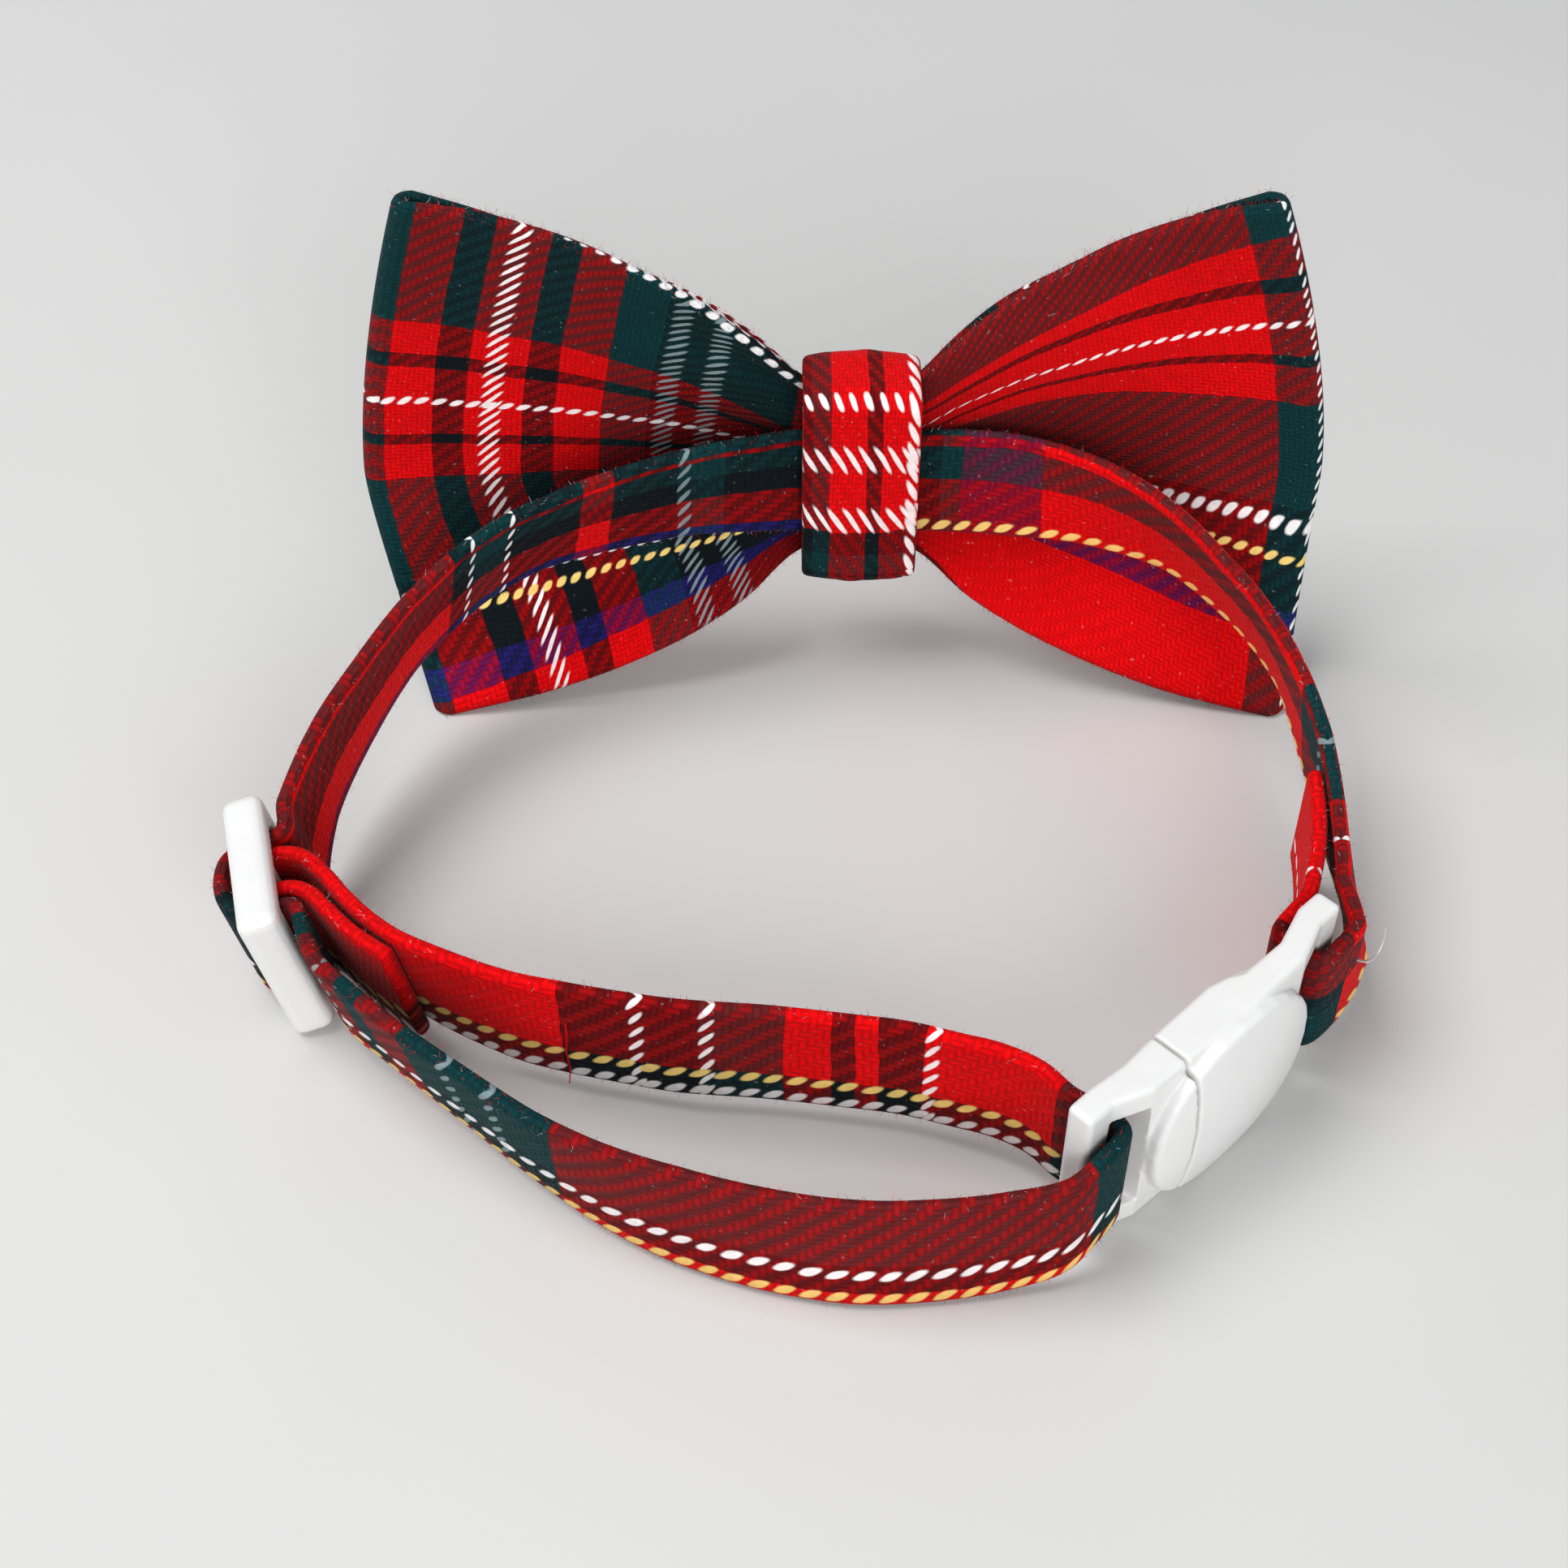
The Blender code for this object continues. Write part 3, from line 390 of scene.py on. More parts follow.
def round_slider_bar():
    _, _, centre_half, centre_face = slider_corners()
    there = [(x * SLIDER_SPAN, y * SLIDER_SPAN) for x, y in SLIDER_INNER_LAYER]
    turn = arc((centre_half, centre_face), WRAP, (-20, 45, 90)) + arc(
        (-centre_half, centre_face), WRAP, (90, 135, 200)
    )
    return there + turn + [(x * SLIDER_SPAN, y * SLIDER_SPAN) for x, y in SLIDER_FOLDED_LAYER]


def through_near_ring():
    face = BUCKLE_RING_THICKNESS / 2
    outer = face + WRAP + CLEARANCE
    slot_middle = BUCKLE_BAR + WRAP
    return [
        (CLEARANCE, -outer),
        *arc((BUCKLE_BAR, -face), WRAP + CLEARANCE / 3, (-90, -45, 0)),
        (slot_middle, face),
        (slot_middle - CLEARANCE, face + 2 * WRAP),
    ]


def through_far_ring():
    low, high = BUCKLE_LENGTH - BUCKLE_BAR, BUCKLE_LENGTH
    face = BUCKLE_RING_THICKNESS / 2
    loose = WRAP + CLEARANCE / 3
    outer_face = face + loose
    sewn = [
        (high + BUCKLE_END_SEWN * along, BUCKLE_END_SEWN * inward) for along, inward in BUCKLE_SEWN_LAYER
    ]
    slot = arc((low, face), loose, (90, 135, 180)) + arc((low, -face), loose, (180, 225, 270))
    return sewn + slot + [(high, -outer_face), (high + 2 * WRAP, -outer_face + CLEARANCE)]


def strap_rows():
    slider, buckle = slider_frame(), buckle_frame()
    knot = loop_point(*KNOT_PLACE, KNOT_MIDDLE)
    return (
        framed_rows(buckle, through_far_ring())
        + free_rows(RIGHT_REAR_RUN)
        + [(knot, Vector((0.0, 0.0, 1.0)))]
        + free_rows(LEFT_REAR_RUN)
        + framed_rows(slider, over_slider())
        + free_rows(FRONT_OUTER_RUN)
        + framed_rows(buckle, through_near_ring())
        + free_rows(FRONT_INNER_RUN)
        + framed_rows(slider, round_slider_bar())
    )


def curve_through(rows, per_span=PER_SPAN):
    points = [row[0] for row in rows]
    ups = [row[1] for row in rows]
    count = len(points)
    curve = []
    for i in range(count - 1):
        p1, p2 = points[i], points[i + 1]
        p0 = points[i - 1] if i > 0 else 2 * p1 - p2
        p3 = points[i + 2] if i + 2 < count else 2 * p2 - p1
        t0 = 0.0
        t1 = t0 + math.sqrt((p1 - p0).length)
        t2 = t1 + math.sqrt((p2 - p1).length)
        t3 = t2 + math.sqrt((p3 - p2).length)
        for step in range(per_span + (i == count - 2)):
            share = step / per_span
            t = t1 + (t2 - t1) * share
            a1 = p0 * ((t1 - t) / (t1 - t0)) + p1 * ((t - t0) / (t1 - t0))
            a2 = p1 * ((t2 - t) / (t2 - t1)) + p2 * ((t - t1) / (t2 - t1))
            a3 = p2 * ((t3 - t) / (t3 - t2)) + p3 * ((t - t2) / (t3 - t2))
            b1 = a1 * ((t2 - t) / (t2 - t0)) + a2 * ((t - t0) / (t2 - t0))
            b2 = a2 * ((t3 - t) / (t3 - t1)) + a3 * ((t - t1) / (t3 - t1))
            point = b1 * ((t2 - t) / (t2 - t1)) + b2 * ((t - t1) / (t2 - t1))
            curve.append((point, ups[i].lerp(ups[i + 1], share).normalized()))
    return curve


def end_reach(row, corners):
    if row > END_WIDEST_ROW:
        return 1 - corners["upper"] * ((row - END_WIDEST_ROW) / (1 - END_WIDEST_ROW)) ** END_ROUNDNESS
    return 1 - corners["lower"] * ((END_WIDEST_ROW - row) / (1 + END_WIDEST_ROW)) ** END_ROUNDNESS


def bow_point(side, reach, row, panel):
    length, corners = (WING_LEFT, LEFT_END) if side < 0 else (WING_RIGHT, RIGHT_END)
    upper, lower, setback, upper_lobe, lower_lobe, apart, drop, pleats = (
        interpolate(WING_PROFILE, reach, column) for column in range(1, 9)
    )
    upper -= drop * panel
    height = BOW_HEIGHT * (lower + (upper - lower) * (row + 1) / 2)
    lobe = upper_lobe * max(row, 0.0) ** LOBE_ROUNDNESS + lower_lobe * max(-row, 0.0) ** LOBE_ROUNDNESS
    pleat = PLEAT_DEPTH * pleats * math.cos(2 * math.pi * row)
    depth = BOW_HEIGHT * (setback - lobe + apart * panel) + pleat
    across = side * (length * end_reach(row, corners) - END_FOLD_RADIUS) * reach
    knot = loop_point(*KNOT_PLACE, 0.0)
    back = knot.y + STRAP_THICKNESS / 2 + CLEARANCE + BOW_CLOTH / 2 + PLEAT_DEPTH + CLEARANCE
    return Vector((knot.x + across, back + depth, height + BOW_CLOTH / 2))


def lookup(table, key):
    return float(np.interp(key, [row[0] for row in table], [row[1] for row in table]))


def thick_band(name, grid, cloth, thickness, closed, materials, choose, edge_steps=6):
    """A cloth band with round edges from a grid of points on its middle surface.

    grid is stations by rows of points; cloth gives the place on the flat cloth for each station
    and row, with one station more where the band is closed. choose(side, station) picks the
    material of side 0, which faces the way that station crossed with row points, and of side 1."""
    grid, cloth = np.asarray(grid, float), np.asarray(cloth, float)
    count, rows, _ = grid.shape
    ahead = np.roll(grid, -1, 0) - np.roll(grid, 1, 0) if closed else np.gradient(grid, axis=0)
    across = np.gradient(grid, axis=1)
    normal = np.cross(ahead, across)
    normal /= np.linalg.norm(normal, axis=2, keepdims=True) + 1e-12
    sideways = across / (np.linalg.norm(across, axis=2, keepdims=True) + 1e-12)
    half = thickness / 2
    rings, places, sides = [], [], []

    def add(points, place, side, shift=0.0):
        rings.append(points)
        places.append(place + np.array((0.0, shift)))
        sides.append(side)

    def edge(at, sign):
        for step in range(1, edge_steps):
            angle = math.pi * step / edge_steps
            rise, out = half * math.cos(angle) * sign, half * math.sin(angle) * sign
            first = step <= edge_steps / 2
            beyond = half * (angle if first else math.pi - angle) * sign
            points = grid[:, at] + normal[:, at] * rise + sideways[:, at] * out
            add(points, cloth[:, at], (0 if first else 1) if sign > 0 else (1 if first else 0), beyond)

    for k in range(rows):
        add(grid[:, k] + normal[:, k] * half, cloth[:, k], 0)
    edge(-1, 1)
    for k in reversed(range(rows)):
        add(grid[:, k] - normal[:, k] * half, cloth[:, k], 1)
    edge(0, -1)
    points = np.stack(rings, axis=1)
    # Nothing lies below the floor
    points[..., 2] = np.maximum(points[..., 2], 0.0)
    around = points.shape[1]
    faces, uvs, picks = [], [], []
    for i in range(count if closed else count - 1):
        j = (i + 1) % count
        for k in range(around):
            m = (k + 1) % around
            faces.append((i * around + k, i * around + m, j * around + m, j * around + k))
            uvs += [places[k][i], places[m][i], places[m][i + 1], places[k][i + 1]]
            picks.append(choose(sides[k], i))
    if not closed:
        last = (count - 1) * around
        faces.append(tuple(reversed(range(around))))
        uvs += [places[k][0] for k in reversed(range(around))]
        faces.append(tuple(last + k for k in range(around)))
        uvs += [places[k][-1] for k in range(around)]
        picks += [choose(0, 0), choose(0, count - 2)]
    mesh = bpy.data.meshes.new(name)
    mesh.from_pydata(points.reshape(-1, 3).tolist(), [], faces)
    mesh.uv_layers.new(name="cloth").data.foreach_set("uv", np.array(uvs, float).ravel())
    for material in materials:
        mesh.materials.append(material)
    mesh.polygons.foreach_set("material_index", picks)
    mesh.polygons.foreach_set("use_smooth", [True] * len(faces))
    mesh.update()
    obj = bpy.data.objects.new(name, mesh)
    bpy.context.collection.objects.link(obj)
    return obj


# Materials
class Nodes:
    """Short calls for building a material's nodes."""

    def __init__(self, name):
        self.material = bpy.data.materials.new(name)
        self.material.use_nodes = True
        self.tree = self.material.node_tree
        self.shader = self.tree.nodes["Principled BSDF"]

    def node(self, kind, **settings):
        made = self.tree.nodes.new(kind)
        for key, value in settings.items():
            setattr(made, key, value)
        return made

    def link(self, source, target):
        self.tree.links.new(source, target)

    def math(self, operation, a, b=None):
        made = self.node("ShaderNodeMath", operation=operation)
        for index, value in enumerate((a, b)):
            if value is None:
                continue
            if isinstance(value, (int, float)):
                made.inputs[index].default_value = value
            else:
                self.link(value, made.inputs[index])
        return made.outputs[0]

    def line(self, value, gain, base):
        return self.math("ADD", self.math("MULTIPLY", value, gain), base)

    def repeat(self, value, length):
        return self.math("FLOORED_MODULO", value, length)

    def mix(self, factor, a, b):
        made = self.node("ShaderNodeMix", data_type="RGBA")
        for socket, value in ((made.inputs[0], factor), (made.inputs[6], a), (made.inputs[7], b)):
            if isinstance(value, (int, float)):
                socket.default_value = value
            elif isinstance(value, tuple):
                socket.default_value = (*value, 1.0)
            else:
                self.link(value, socket)
        return made.outputs[2]

    def channel(self, colour, index):
        parts = self.node("ShaderNodeSeparateColor")
        self.link(colour, parts.inputs[0])
        return parts.outputs[index]

    def noise(self, scale, detail=2.0):
        """A noise texture that stays with the object."""
        made = self.node("ShaderNodeTexNoise")
        made.inputs["Scale"].default_value = scale
        made.inputs["Detail"].default_value = detail
        self.link(self.node("ShaderNodeTexCoord").outputs["Object"], made.inputs["Vector"])
        return made

    def bump(self, height, strength, distance):
        made = self.node("ShaderNodeBump")
        made.inputs["Strength"].default_value = strength
        made.inputs["Distance"].default_value = distance
        self.link(height, made.inputs["Height"])
        self.link(made.outputs[0], self.shader.inputs["Normal"])

    def surface(self, values):
        """Values that are the same all over, set on the shader's own sockets."""
        for socket, value in values.items():
            self.shader.inputs[socket].default_value = value


def part_bands(bands):
    """Bands with each pale one given to the band before it, the pale bands, each a colour, its
    middle and its half width, and the threads in all."""
    ground, pale, place = [], [], 0
    for index, (colour, count) in enumerate(bands):
        if colour in PALE:
            pale.append((colour, place + count / 2, count / 2))
            colour = ground[-1][0] if ground else bands[index + 1][0]
        if ground and ground[-1][0] == colour:
            ground[-1] = (colour, ground[-1][1] + count)
        else:
            ground.append((colour, count))
        place += count
    return ground, pale, place


def band_ramp(nodes, position, bands):
    """Colour of a thread from its place in a repeat of bands, each a colour and a count."""
    total = sum(count for _, count in bands)
    share = nodes.math("DIVIDE", nodes.repeat(position, total), total)
    ramp = nodes.node("ShaderNodeValToRGB")
    ramp.color_ramp.interpolation = "CONSTANT"
    elements = ramp.color_ramp.elements
    place = 0
    for index, (colour, count) in enumerate(bands):
        if index < 2:
            element = elements[index]
            element.position = place / total
        else:
            element = elements.new(place / total)
        element.color = (*colour, 1.0)
        place += count
    if len(bands) == 1:
        elements[1].color = (*bands[0][0], 1.0)
    nodes.link(share, ramp.inputs[0])
    return ramp.outputs[0]


def pale_float(nodes, along, across, band, total, every, shape):
    """How far inside one of a pale band's oval floats a point lies: 1 at its middle, 0 outside.

    The floats repeat along the band after every so many threads and lean by their slope."""
    _, middle, half_width = band
    slope, length, width = shape
    off = nodes.repeat(nodes.math("ADD", across, total / 2 - middle), total)
    off = nodes.math("SUBTRACT", off, total / 2)
    slid = nodes.math("SUBTRACT", along, nodes.math("MULTIPLY", off, slope))
    step = nodes.math("SUBTRACT", nodes.repeat(slid, every), every / 2)
    reaches = [
        nodes.math("POWER", nodes.math("ABSOLUTE", nodes.math("DIVIDE", distance, half)), OVAL_ROUNDNESS)
        for distance, half in ((step, length * every), (off, half_width * width))
    ]
    inside = nodes.node("ShaderNodeMapRange", clamp=True)
    inside.inputs["From Min"].default_value, inside.inputs["From Max"].default_value = OVAL_EDGE
    nodes.link(nodes.math("ADD", *reaches), inside.inputs["Value"])
    return inside.outputs[0]


def thread_places(nodes, pitch, starts):
    """Where a point lies, counted in warp threads and in weft threads, which wander a little."""
    uv = nodes.node("ShaderNodeUVMap", uv_map="cloth")
    split = nodes.node("ShaderNodeSeparateXYZ")
    nodes.link(uv.outputs[0], split.inputs[0])
    wander = nodes.noise(WANDER_SCALE).outputs["Color"]
    places = []
    for index in (0, 1):
        straight = nodes.math("DIVIDE", split.outputs[index], pitch[index])
        stray = nodes.math("SUBTRACT", nodes.channel(wander, index), 0.5)
        straight = nodes.math("ADD", straight, starts[index])
        places.append(nodes.math("ADD", straight, nodes.math("MULTIPLY", stray, WANDER)))
    return places


def weave(nodes, u, v, slant):
    """Where the warp lies on top, which is in diagonals, and how high the threads stand.

    Each float is a small cushion, highest at its middle."""
    column, row = nodes.math("FLOOR", u), nodes.math("FLOOR", v)
    lag = nodes.math("MULTIPLY", column, float(slant))
    warp_up = nodes.math("LESS_THAN", nodes.repeat(nodes.math("SUBTRACT", row, lag), 4.0), 1.5)
    along_warp = nodes.repeat(nodes.math("SUBTRACT", v, lag), 4.0)
    along_weft = nodes.repeat(nodes.math("SUBTRACT" if slant > 0 else "ADD", u, row), 4.0)

    def arch(value, scale):
        return nodes.math("ABSOLUTE", nodes.math("SINE", nodes.math("MULTIPLY", value, math.pi * scale)))

    def cushion(side, along):
        return nodes.math("MULTIPLY", arch(side, 1.0), nodes.line(arch(along, 0.5), 0.55, 0.45))

    over = nodes.node("ShaderNodeMix", data_type="FLOAT")
    nodes.link(warp_up, over.inputs[0])
    nodes.link(cushion(v, along_weft), over.inputs[2])
    nodes.link(cushion(u, along_warp), over.inputs[3])
    return column, row, warp_up, over.outputs[0]


def paint_cloth_shade_and_dye(nodes, colour, height, dull):
    """Painted shade between threads and in crevices, uneven dye, caught lint and the threads' relief."""
    fleck, patch = nodes.noise(1500.0, 3.0).outputs[0], nodes.noise(90.0).outputs[0]
    # Painted shade: ambient occlusion darkens the cloth's colour in crevices and where other parts lie
    # close
    crevice = nodes.node("ShaderNodeAmbientOcclusion", samples=4)
    crevice.inputs["Distance"].default_value = CREVICE_REACH
    shade = nodes.math("SUBTRACT", 1.0, dull)
    # The colour darkens by painted shade from the threads' height and from crevices, and by uneven dye
    for value, (gain, base) in (
        (height, HEIGHT_SHADE),
        (crevice.outputs["AO"], CREVICE_SHADE),
        (fleck, FLECK_SHADE),
        (patch, PATCH_SHADE),
    ):
        shade = nodes.math("MULTIPLY", shade, nodes.line(value, gain, base))
    shaded = nodes.node("ShaderNodeVectorMath", operation="SCALE")
    nodes.link(colour, shaded.inputs[0])
    nodes.link(shade, shaded.inputs[3])
    lint = nodes.math("GREATER_THAN", nodes.noise(3200.0, 0.0).outputs[0], LINT_LEVEL)
    dusty = nodes.mix(nodes.math("MULTIPLY", lint, LINT_STRENGTH), shaded.outputs[0], LINT_COLOUR)
    nodes.link(dusty, nodes.shader.inputs["Base Color"])
    nodes.bump(nodes.math("ADD", height, nodes.math("MULTIPLY", fleck, 0.35)), 0.6, 0.14 * MM)
    nodes.surface(
        {"Roughness": 0.85, "Specular IOR Level": 0.08, "Sheen Weight": 0.03, "Sheen Roughness": 0.4}
    )


def tartan(name, warp, weft, starts=(0.0, 0.0), slant=1, pitch=(WARP_PITCH, WEFT_PITCH),
           floats=CLOTH_FLOATS):
    """Twill woven from bands of warp and bands of weft threads, over two and under two."""
    nodes = Nodes(name)
    u, v = thread_places(nodes, pitch, starts)
    column, row, warp_up, height = weave(nodes, u, v, slant)
    warp_ground, warp_pale, warp_total = part_bands(warp)
    weft_ground, weft_pale, weft_total = part_bands(weft)
    warp_colour = band_ramp(nodes, nodes.math("ADD", column, 0.5), warp_ground)
    weft_colour = band_ramp(nodes, nodes.math("ADD", row, 0.5), weft_ground)
    # From a hand's breadth away the two sets of threads blend, and red dulls over green or black
    reds = nodes.channel(warp_colour, 0), nodes.channel(weft_colour, 0)
    dull = nodes.math("MULTIPLY", nodes.math("ABSOLUTE", nodes.math("SUBTRACT", *reds)), DULLING)
    both = nodes.mix(0.5, weft_colour, warp_colour)
    colour = nodes.mix(BLEND, nodes.mix(warp_up, weft_colour, warp_colour), both)
    # White, grey and yellow floats stand out as ovals, a little tinted by what they cross
    every, warp_float, weft_float = floats
    for bands, total, along, across, (slope, length, width) in (
        (warp_pale, warp_total, v, u, warp_float),
        (weft_pale, weft_total, u, v, weft_float),
    ):
        for band in bands:
            shape = (slope * slant, length, width)
            oval = pale_float(nodes, along, across, band, total, every, shape)
            colour = nodes.mix(oval, colour, nodes.mix(TINT, band[0], both))
            dull = nodes.math("MULTIPLY", dull, nodes.math("SUBTRACT", 1.0, oval))
            height = nodes.math("MAXIMUM", height, nodes.math("MULTIPLY", oval, FLOAT_RISE))
    paint_cloth_shade_and_dye(nodes, colour, height, dull)
    return nodes.material


def plastic(name):
    nodes = Nodes(name)
    cloud, grain = nodes.noise(220.0, 4.0).outputs[0], nodes.noise(900.0).outputs[0]
    nodes.link(nodes.mix(cloud, PLASTIC_SHADED, PLASTIC_LIT), nodes.shader.inputs["Base Color"])
    nodes.link(nodes.line(cloud, 0.14, 0.26), nodes.shader.inputs["Roughness"])
    nodes.bump(grain, 0.15, 0.05 * MM)
    nodes.surface({
        "Subsurface Weight": 0.12,
        "Subsurface Radius": (0.0015, 0.0013, 0.0012),
        "Coat Weight": 0.25,
        "Coat Roughness": 0.1,
    })
    return nodes.material


def fibre(name, colour):
    nodes = Nodes(name)
    darker = tuple(0.7 * part for part in colour)
    streaked = nodes.mix(nodes.noise(1800.0).outputs[0], darker, colour)
    nodes.link(streaked, nodes.shader.inputs["Base Color"])
    nodes.surface({"Roughness": 0.8, "Specular IOR Level": 0.1})
    return nodes.material


# Pieces
def wrinkle(side, reach, row):
    """How far the gathers push both panels back, most just outside the knot."""
    rise = min(max((reach - 0.10) / 0.12, 0.0), 1.0)
    fade = math.exp(-((reach - 0.2) / 0.26) ** 2) if reach > 0.2 else 1.0
    spread = row * (1.0 + 0.5 * reach)
    ridges = 0.5 + 0.5 * math.sin(9.5 * spread + 1.3 * side + 2.2 * reach * side)
    fine = 0.5 + 0.5 * math.sin(21.0 * spread + 4.0 * reach + 0.7 * side)
    slack = 0.5 + 0.5 * math.sin(2.6 * row + 6.0 * reach + side)
    return (0.42 * MM * ridges + 0.16 * MM * fine) * rise * fade + 0.22 * MM * slack * rise


def bow_grain(side, reach, row):
    """Where a point of the bow lies on its flat cloth, in metres."""
    height = BOW_HEIGHT / MM * (row + 1) / 2
    if side < 0:
        along = WING_LEFT * (1 - reach)
        lean = lookup(LEFT_LEAN, height) * MM * min(1.0, along / LEAN_START)
        drift = (1 - reach) * lookup(LEFT_DRIFT, height)
        return along - lean, (height + drift) * MM
    raised = height + (1 - reach) * lookup(RIGHT_DRIFT, height)
    return WING_LEFT + WING_RIGHT * reach, lookup(RIGHT_TO_LEFT, raised) * MM


def build_bow():
    wing_steps, fold_steps, row_steps = 64, 8, 64
    rows = [-1 + 2 * i / row_steps for i in range(row_steps + 1)]
    reaches = [i / wing_steps for i in range(wing_steps + 1)]
    turned = math.pi * END_FOLD_RADIUS
    both_wings = WING_LEFT + WING_RIGHT
    columns, cloth = [], []

    def wing(side, reach, panel):
        columns.append(
            [bow_point(side, reach, w, panel) + Vector((0.0, wrinkle(side, reach, w), 0.0)) for w in rows]
        )
        places = [bow_grain(side, reach, w) for w in rows]
        far = 2 * both_wings + turned
        cloth.append([(far - u if panel else u, v) for u, v in places])

    def fold(side, step, start):
        column = []
        for w in rows:
            back = Vector((0.0, wrinkle(side, 1.0, w), 0.0))
            near, far = bow_point(side, 1.0, w, 0) + back, bow_point(side, 1.0, w, 1) + back
            angle = math.pi * step / fold_steps
            middle, radius = (near + far) / 2, (far.y - near.y) / 2
            out = side * END_FOLD_RADIUS * math.sin(angle)
            column.append(middle + Vector((out, -radius * math.cos(angle), 0.0)))
        columns.append(column)
        share = step / fold_steps if side > 0 else 1 - step / fold_steps
        cloth.append([(start + turned * share, bow_grain(side, 1.0, w)[1]) for w in rows])

    for reach in reversed(reaches[1:]):
        wing(-1, reach, 0)
    for reach in reaches:
        wing(1, reach, 0)
    for step in range(1, fold_steps):
        fold(1, step, both_wings)
    for reach in reversed(reaches[1:]):
        wing(1, reach, 1)
    for reach in reaches:
        wing(-1, reach, 1)
    for step in reversed(range(1, fold_steps)):
        fold(-1, step, 2 * both_wings + turned)
    around = 2 * both_wings + 2 * turned
    cloth.append([(around, v) for _, v in cloth[0]])
    grid = np.array([[tuple(point) for point in column] for column in columns]) + SHIFT
    twill = tartan("bow_tartan", BOW_WARP, BOW_WEFT, (0.0, BOW_WEFT_START))
    piece = thick_band("bow_cloth", grid, cloth, BOW_CLOTH, True, [twill], lambda side, station: 0)
    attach(piece, "root")
    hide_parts("bow")
    return grid


def strap_runs(last):
    """The station where each run of the strap ends, its warp, its weft and its twill's slant."""
    ring, crossing = len(through_far_ring()), len(over_slider()) // 2
    sewn, turned = PER_SPAN * len(BUCKLE_SEWN_LAYER), PER_SPAN * (ring - 2)
    at_knot = PER_SPAN * (ring + len(RIGHT_REAR_RUN))
    on_slider = at_knot + PER_SPAN * (1 + len(LEFT_REAR_RUN) + crossing)
    at_near_ring = on_slider + PER_SPAN * (crossing + len(FRONT_OUTER_RUN) + 3)
    return (
        (sewn, SEWN_END_WARP, SEWN_END_WEFT, -1),
        (turned, RING_TURN_WARP, RING_TURN_WEFT, 1),
        (at_knot, REAR_RIGHT_WARP, REAR_RIGHT_WEFT, -1),
        (on_slider, REAR_LEFT_WARP, REAR_LEFT_WEFT, -1),
        (at_near_ring, FRONT_OUTER_WARP, FRONT_OUTER_WEFT, 1),
        (last, FRONT_INNER_WARP, FRONT_INNER_WEFT, -1),
    )


def build_strap():
    curve = curve_through(strap_rows())
    points = np.array([tuple(p) for p, _ in curve])
    ups = np.array([tuple(u) for _, u in curve])
    lengths = np.concatenate([[0], np.cumsum(np.linalg.norm(np.diff(points, axis=0), axis=1))])
    across_steps = 16
    reach = STRAP_WIDTH / 2 - STRAP_THICKNESS / 2
    rows = [reach * (-1 + 2 * k / across_steps) for k in range(across_steps + 1)]
    grid = np.array([[p + up * r for r in rows] for p, up in zip(points, ups)]) + SHIFT
    cloth = [[(length, r + STRAP_WIDTH / 2) for r in rows] for length in lengths]
    runs = strap_runs(len(points))
    pitch, first, faces = (STRAP_WARP_PITCH, STRAP_WEFT_PITCH), 0, []
    for index, (end, warp, weft, slant) in enumerate(runs):
        begin = -float(lengths[first]) / STRAP_WARP_PITCH
        faces.append(tartan("strap_run_%d" % index, warp, weft, (begin, 0.0), slant, pitch))
        first = end

    def choose(side, station):
        return next(index for index, run in enumerate(runs) if station < run[0])

    piece = thick_band("strap_cloth", grid, cloth, STRAP_THICKNESS, False, faces, choose)
    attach(piece, "root")
    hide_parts("collar_strap")
    return grid


def knot_outline(depth, rise, steps):
    """Even steps round the knot band's middle surface, and how far along each of them is."""
    inset = KNOT_CLOTH / 2
    outline = []
    for at_depth, at_height, share, first in KNOT_CORNERS:
        radius = share * depth
        middle = (
            inset + at_depth * depth + (radius if at_depth == 0.0 else -radius),
            KNOT_BOTTOM + inset + at_height * rise + (radius if at_height == 0.0 else -radius),
        )
        outline += arc(middle, radius, [first + 90 * k / 8 for k in range(9)])
    closed = np.array(outline + outline[:1])
    lengths = np.concatenate([[0], np.cumsum(np.linalg.norm(np.diff(closed, axis=0), axis=1))])
    even = np.linspace(0, lengths[-1], steps + 1)
    return np.stack([np.interp(even[:-1], lengths, closed[:, part]) for part in (0, 1)], 1), even


